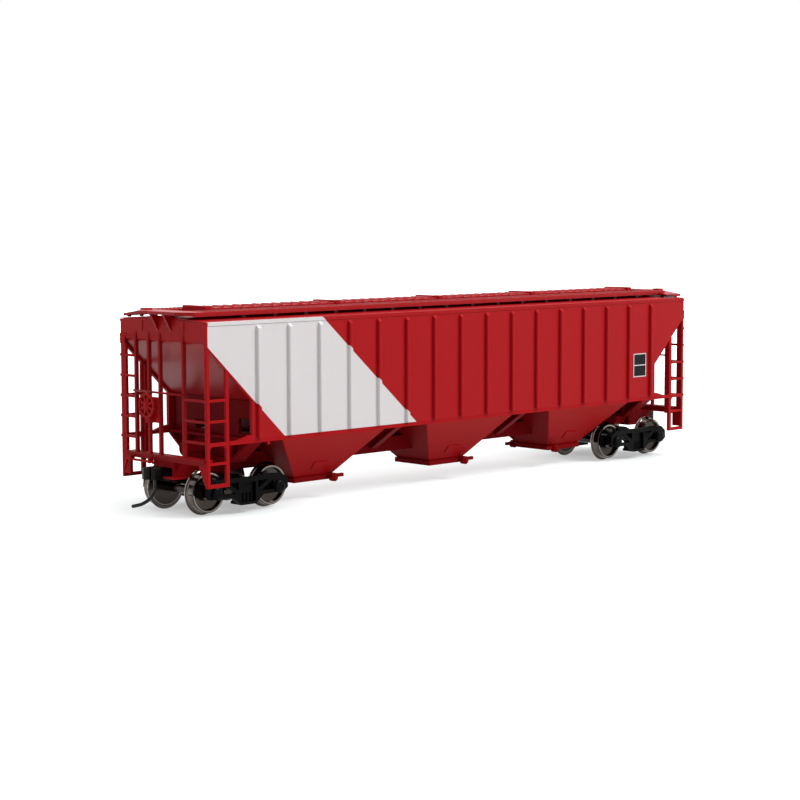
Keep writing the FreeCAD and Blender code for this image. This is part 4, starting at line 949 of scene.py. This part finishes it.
@dataclass
class Trucks:
    """Truck frames with bearing bolts and coil springs. Millimetres and degrees."""

    bolt_radius: float = 0.3
    bolt_circle: float = 0.78
    bolt_height: float = 0.22
    bolt_sunk: float = 0.05
    bolt_angles: tuple[float, ...] = (90.0, 210.0, 330.0)
    bolt_sides: int = 6
    bolt_smooth: float = 20.0
    spring_count: int = 4
    spring_pitch: float = 1.2
    spring_y: float = 11.86
    coil_turns: int = 5
    coil_pitch: float = 0.42
    coil_foot: float = 3.15
    coil_radius: float = 0.5
    coil_wire: float = 0.17
    coil_steps: int = 14
    coil_smooth: float = 60.0

    def build(self) -> None:
        """Dresses the frames and builds their small parts."""
        black = TRUCK_BLACK.material()
        dress(both("truck_frame"), black, Edge.FINE)
        for end in ENDS:
            self.bearing_bolts(end, black)
            self.springs(end, black)

    def bearing_bolts(self, end: str, black: bpy.types.Material) -> None:
        """Builds three bolt heads on each bearing cap of a truck.

        Args:
            end: Letter of the truck.
            black: The finish.
        """
        bolts = Piece(f"bearing_bolts_{end}")
        face = box_mm(f"truck_frame_{end}")[1].y - self.bolt_sunk
        for axle in AXLES[end]:
            low, high = box_mm(f"axle_{axle}")
            centre = (low + high) / 2.0
            for side in SIDES:
                for turn in self.bolt_angles:
                    angle = math.radians(turn)
                    x = centre.x + self.bolt_circle * math.cos(angle)
                    z = centre.z + self.bolt_circle * math.sin(angle)
                    bolts.disc(
                        Vector((x, side * face, z)),
                        Vector((0.0, side, 0.0)),
                        self.bolt_radius,
                        self.bolt_height,
                        self.bolt_sides,
                    )
        bolts.finish(black, f"truck_{end}", self.bolt_smooth)

    def springs(self, end: str, black: bpy.types.Material) -> None:
        """Builds the turns of the coil springs in each side frame of a truck.

        Args:
            end: Letter of the truck.
            black: The finish.
        """
        low, high = box_mm(f"truck_frame_{end}")
        first_x = (low.x + high.x) / 2.0 - (self.spring_count - 1) / 2.0 * self.spring_pitch
        coils = Piece(f"spring_coils_{end}")
        for side in SIDES:
            for index in range(self.spring_count):
                x = first_x + index * self.spring_pitch
                for turn in range(self.coil_turns):
                    z = self.coil_foot + turn * self.coil_pitch
                    centre = Vector((x, side * self.spring_y, z))
                    coils.ring(centre, UP, self.coil_radius, self.coil_wire, self.coil_steps)
        coils.finish(black, f"truck_{end}", self.coil_smooth)


@dataclass
class Wheelsets:
    """Turned wheels and axles."""

    def build(self) -> None:
        """Dresses the wheels and axles, each with rings about its own axle."""
        for number in (*AXLES["b"], *AXLES["a"]):
            low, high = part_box(f"axle_{number}")
            centre = (low + high) / 2.0
            metal = TurnedMetal(f"dark_nickel_{number}", centre.x, centre.z)
            dress([f"wheels_{number}", f"axle_{number}"], metal.material())


@dataclass
class Couplers:
    """Couplers with their knuckles and trip pins."""

    def build(self) -> None:
        """Dresses the couplers."""
        black = COUPLER_BLACK.material()
        wire = BLACK_WIRE.material()
        dress([*both("coupler_body"), *both("knuckle")], black, Edge.FINE)
        dress(both("trip_pin"), wire)


# ------------------------------------------------------------------------ studio
WHITE: RGB = (1.0, 1.0, 1.0)


@dataclass(frozen=True)
class SoftLamp:
    """A square soft lamp that points at the middle of the car."""

    name: str
    place: RGB
    size: float
    watts: float
    aim: RGB = (0.0, 0.0, 0.025)

    def build(self) -> None:
        """Adds the lamp."""
        data = bpy.data.lights.new(self.name, "AREA")
        data.size = self.size
        data.energy = self.watts
        lamp = bpy.data.objects.new(self.name, data)
        lamp.location = self.place
        beam = Vector(self.aim) - Vector(self.place)
        lamp.rotation_euler = beam.to_track_quat("-Z", "Y").to_euler()
        bpy.context.scene.collection.objects.link(lamp)


@dataclass
class Studio:
    """Camera, lamps, pale floor and white surround.

    Angles are in degrees and lengths in metres, apart from the lens and the sensor, and from
    the floor's shading, which are in millimetres.
    """

    azimuth: float = -44.193
    elevation: float = 5.469
    roll: float = -0.155
    lens: float = 88.05
    sensor: float = 36.0
    clip: tuple[float, float] = (0.01, 50.0)
    eye: RGB = (-0.392392, -0.391676, 0.075601)
    surround: float = 0.4
    cloth: RGB = (0.535, 0.57, 0.57)
    bounce: RGB = (0.46, 0.46, 0.46)
    glow: float = 0.66
    # Painted shadow: the floor's glow drops by this much beside the trucks.
    painted_truck_shadow: float = 0.26
    truck_x: tuple[float, float] = (62.0, 94.0)
    truck_y: float = 24.0
    truck_soft: float = 24.0
    clear_radius: float = 420.0
    clear_width: float = 240.0
    clear_glow: float = 0.9
    floor_half: float = 6.0
    lamps: list[SoftLamp] = field(default_factory=lambda: [
        SoftLamp("key_lamp", (0.6, -0.86, 1.0), 0.5, 15.0),
        SoftLamp("top_lamp", (0.0, -0.1, 1.2), 1.4, 8.5),
        SoftLamp("fill_lamp", (-1.1, -0.25, 0.6), 0.7, 0.8),
        SoftLamp("back_lamp", (0.2, 1.0, 0.9), 0.9, 2.5),
    ])

    def build(self) -> None:
        """Builds the studio."""
        self.camera()
        for lamp in self.lamps:
            lamp.build()
        self.world()
        self.floor()
        bpy.context.scene.view_settings.view_transform = "Standard"

    def camera(self) -> None:
        """Adds the camera."""
        az, el, roll = (math.radians(a) for a in (self.azimuth, self.elevation, self.roll))
        level = math.cos(el)
        back = Vector((math.sin(az) * level, -math.cos(az) * level, math.sin(el)))
        right = (-back).cross(UP).normalized()
        up = right.cross(-back)
        right, up = (
            math.cos(roll) * right + math.sin(roll) * up,
            math.cos(roll) * up - math.sin(roll) * right,
        )
        data = bpy.data.cameras.new("camera")
        data.lens = self.lens
        data.sensor_width = self.sensor
        data.clip_start, data.clip_end = self.clip
        camera = bpy.data.objects.new("camera", data)
        turn = Matrix((right, up, back)).transposed().to_4x4()
        camera.matrix_world = Matrix.Translation(self.eye) @ turn
        bpy.context.scene.collection.objects.link(camera)
        bpy.context.scene.camera = camera

    def world(self) -> None:
        """Makes a soft white surround that lights less than it shows."""
        world = bpy.data.worlds.new("studio")
        bpy.context.scene.world = world
        shader = Shader(world)
        inputs = {
            "Color": WHITE,
            "Strength": self.surround + seen_rays(shader) * (1.0 - self.surround),
        }
        ground = shader.out("ShaderNodeBackground", inputs=inputs)
        shader.node("ShaderNodeOutputWorld", inputs={"Surface": ground})

    def floor_paint(self) -> bpy.types.Material:
        """Builds the floor's material, which shows white where no shadow falls, and a painted
        shadow beside the trucks, where its glow is lower.

        Returns:
            The new material.
        """
        shader = Shader(bpy.data.materials.new("pale_floor"))
        seen = seen_rays(shader)
        _, x, y, _ = shader.place()
        far = (x * x + y * y).math("SQRT").step(self.clear_radius, self.clear_width)
        # Painted shadow: a darker patch of floor beside each truck.
        beside = 1.0 - y.math("ABSOLUTE").step(self.truck_y, self.truck_soft)
        truck = x.math("ABSOLUTE").between(*self.truck_x, self.truck_soft) * beside
        strength = far * self.clear_glow - truck * self.painted_truck_shadow + self.glow
        cloth = shader.out("ShaderNodeBsdfDiffuse", inputs={"Color": self.cloth})
        inputs = {"Color": WHITE, "Strength": strength}
        glow = shader.out("ShaderNodeEmission", inputs=inputs)
        shown = shader.out("ShaderNodeAddShader", inputs={0: cloth, 1: glow})
        hidden = shader.out("ShaderNodeBsdfDiffuse", inputs={"Color": self.bounce})
        mixed = shader.out("ShaderNodeMixShader", inputs={0: seen, 1: hidden, 2: shown})
        shader.node("ShaderNodeOutputMaterial", inputs={"Surface": mixed})
        return shader.owner

    def floor(self) -> None:
        """Adds the pale floor."""
        mesh = bmesh.new()
        bmesh.ops.create_grid(mesh, x_segments=1, y_segments=1, size=self.floor_half)
        add_object("floor", mesh, self.floor_paint())


def seen_rays(shader: Shader) -> Value:
    """Tells the rays that show a surface from those that it lights.

    Args:
        shader: The nodes under construction.

    Returns:
        1 for rays from the camera and for those that gloss and glass send on.
    """
    path = shader.node("ShaderNodeLightPath")
    names = ("Is Camera Ray", "Is Glossy Ray", "Is Transmission Ray")
    camera, glossy, through = (Value(shader, path.outputs[name]) for name in names)
    return camera.math("MAXIMUM", glossy).math("MAXIMUM", through)


def main() -> None:
    """Builds the car and its studio."""
    logging.basicConfig(level=logging.INFO, format="%(name)s: %(message)s")
    for part in (CarBody(), Roof(), Trucks(), Wheelsets(), Couplers(), Studio()):
        part.build()
        log.info("finished %s", type(part).__name__)


if __name__ == "__main__":
    main()
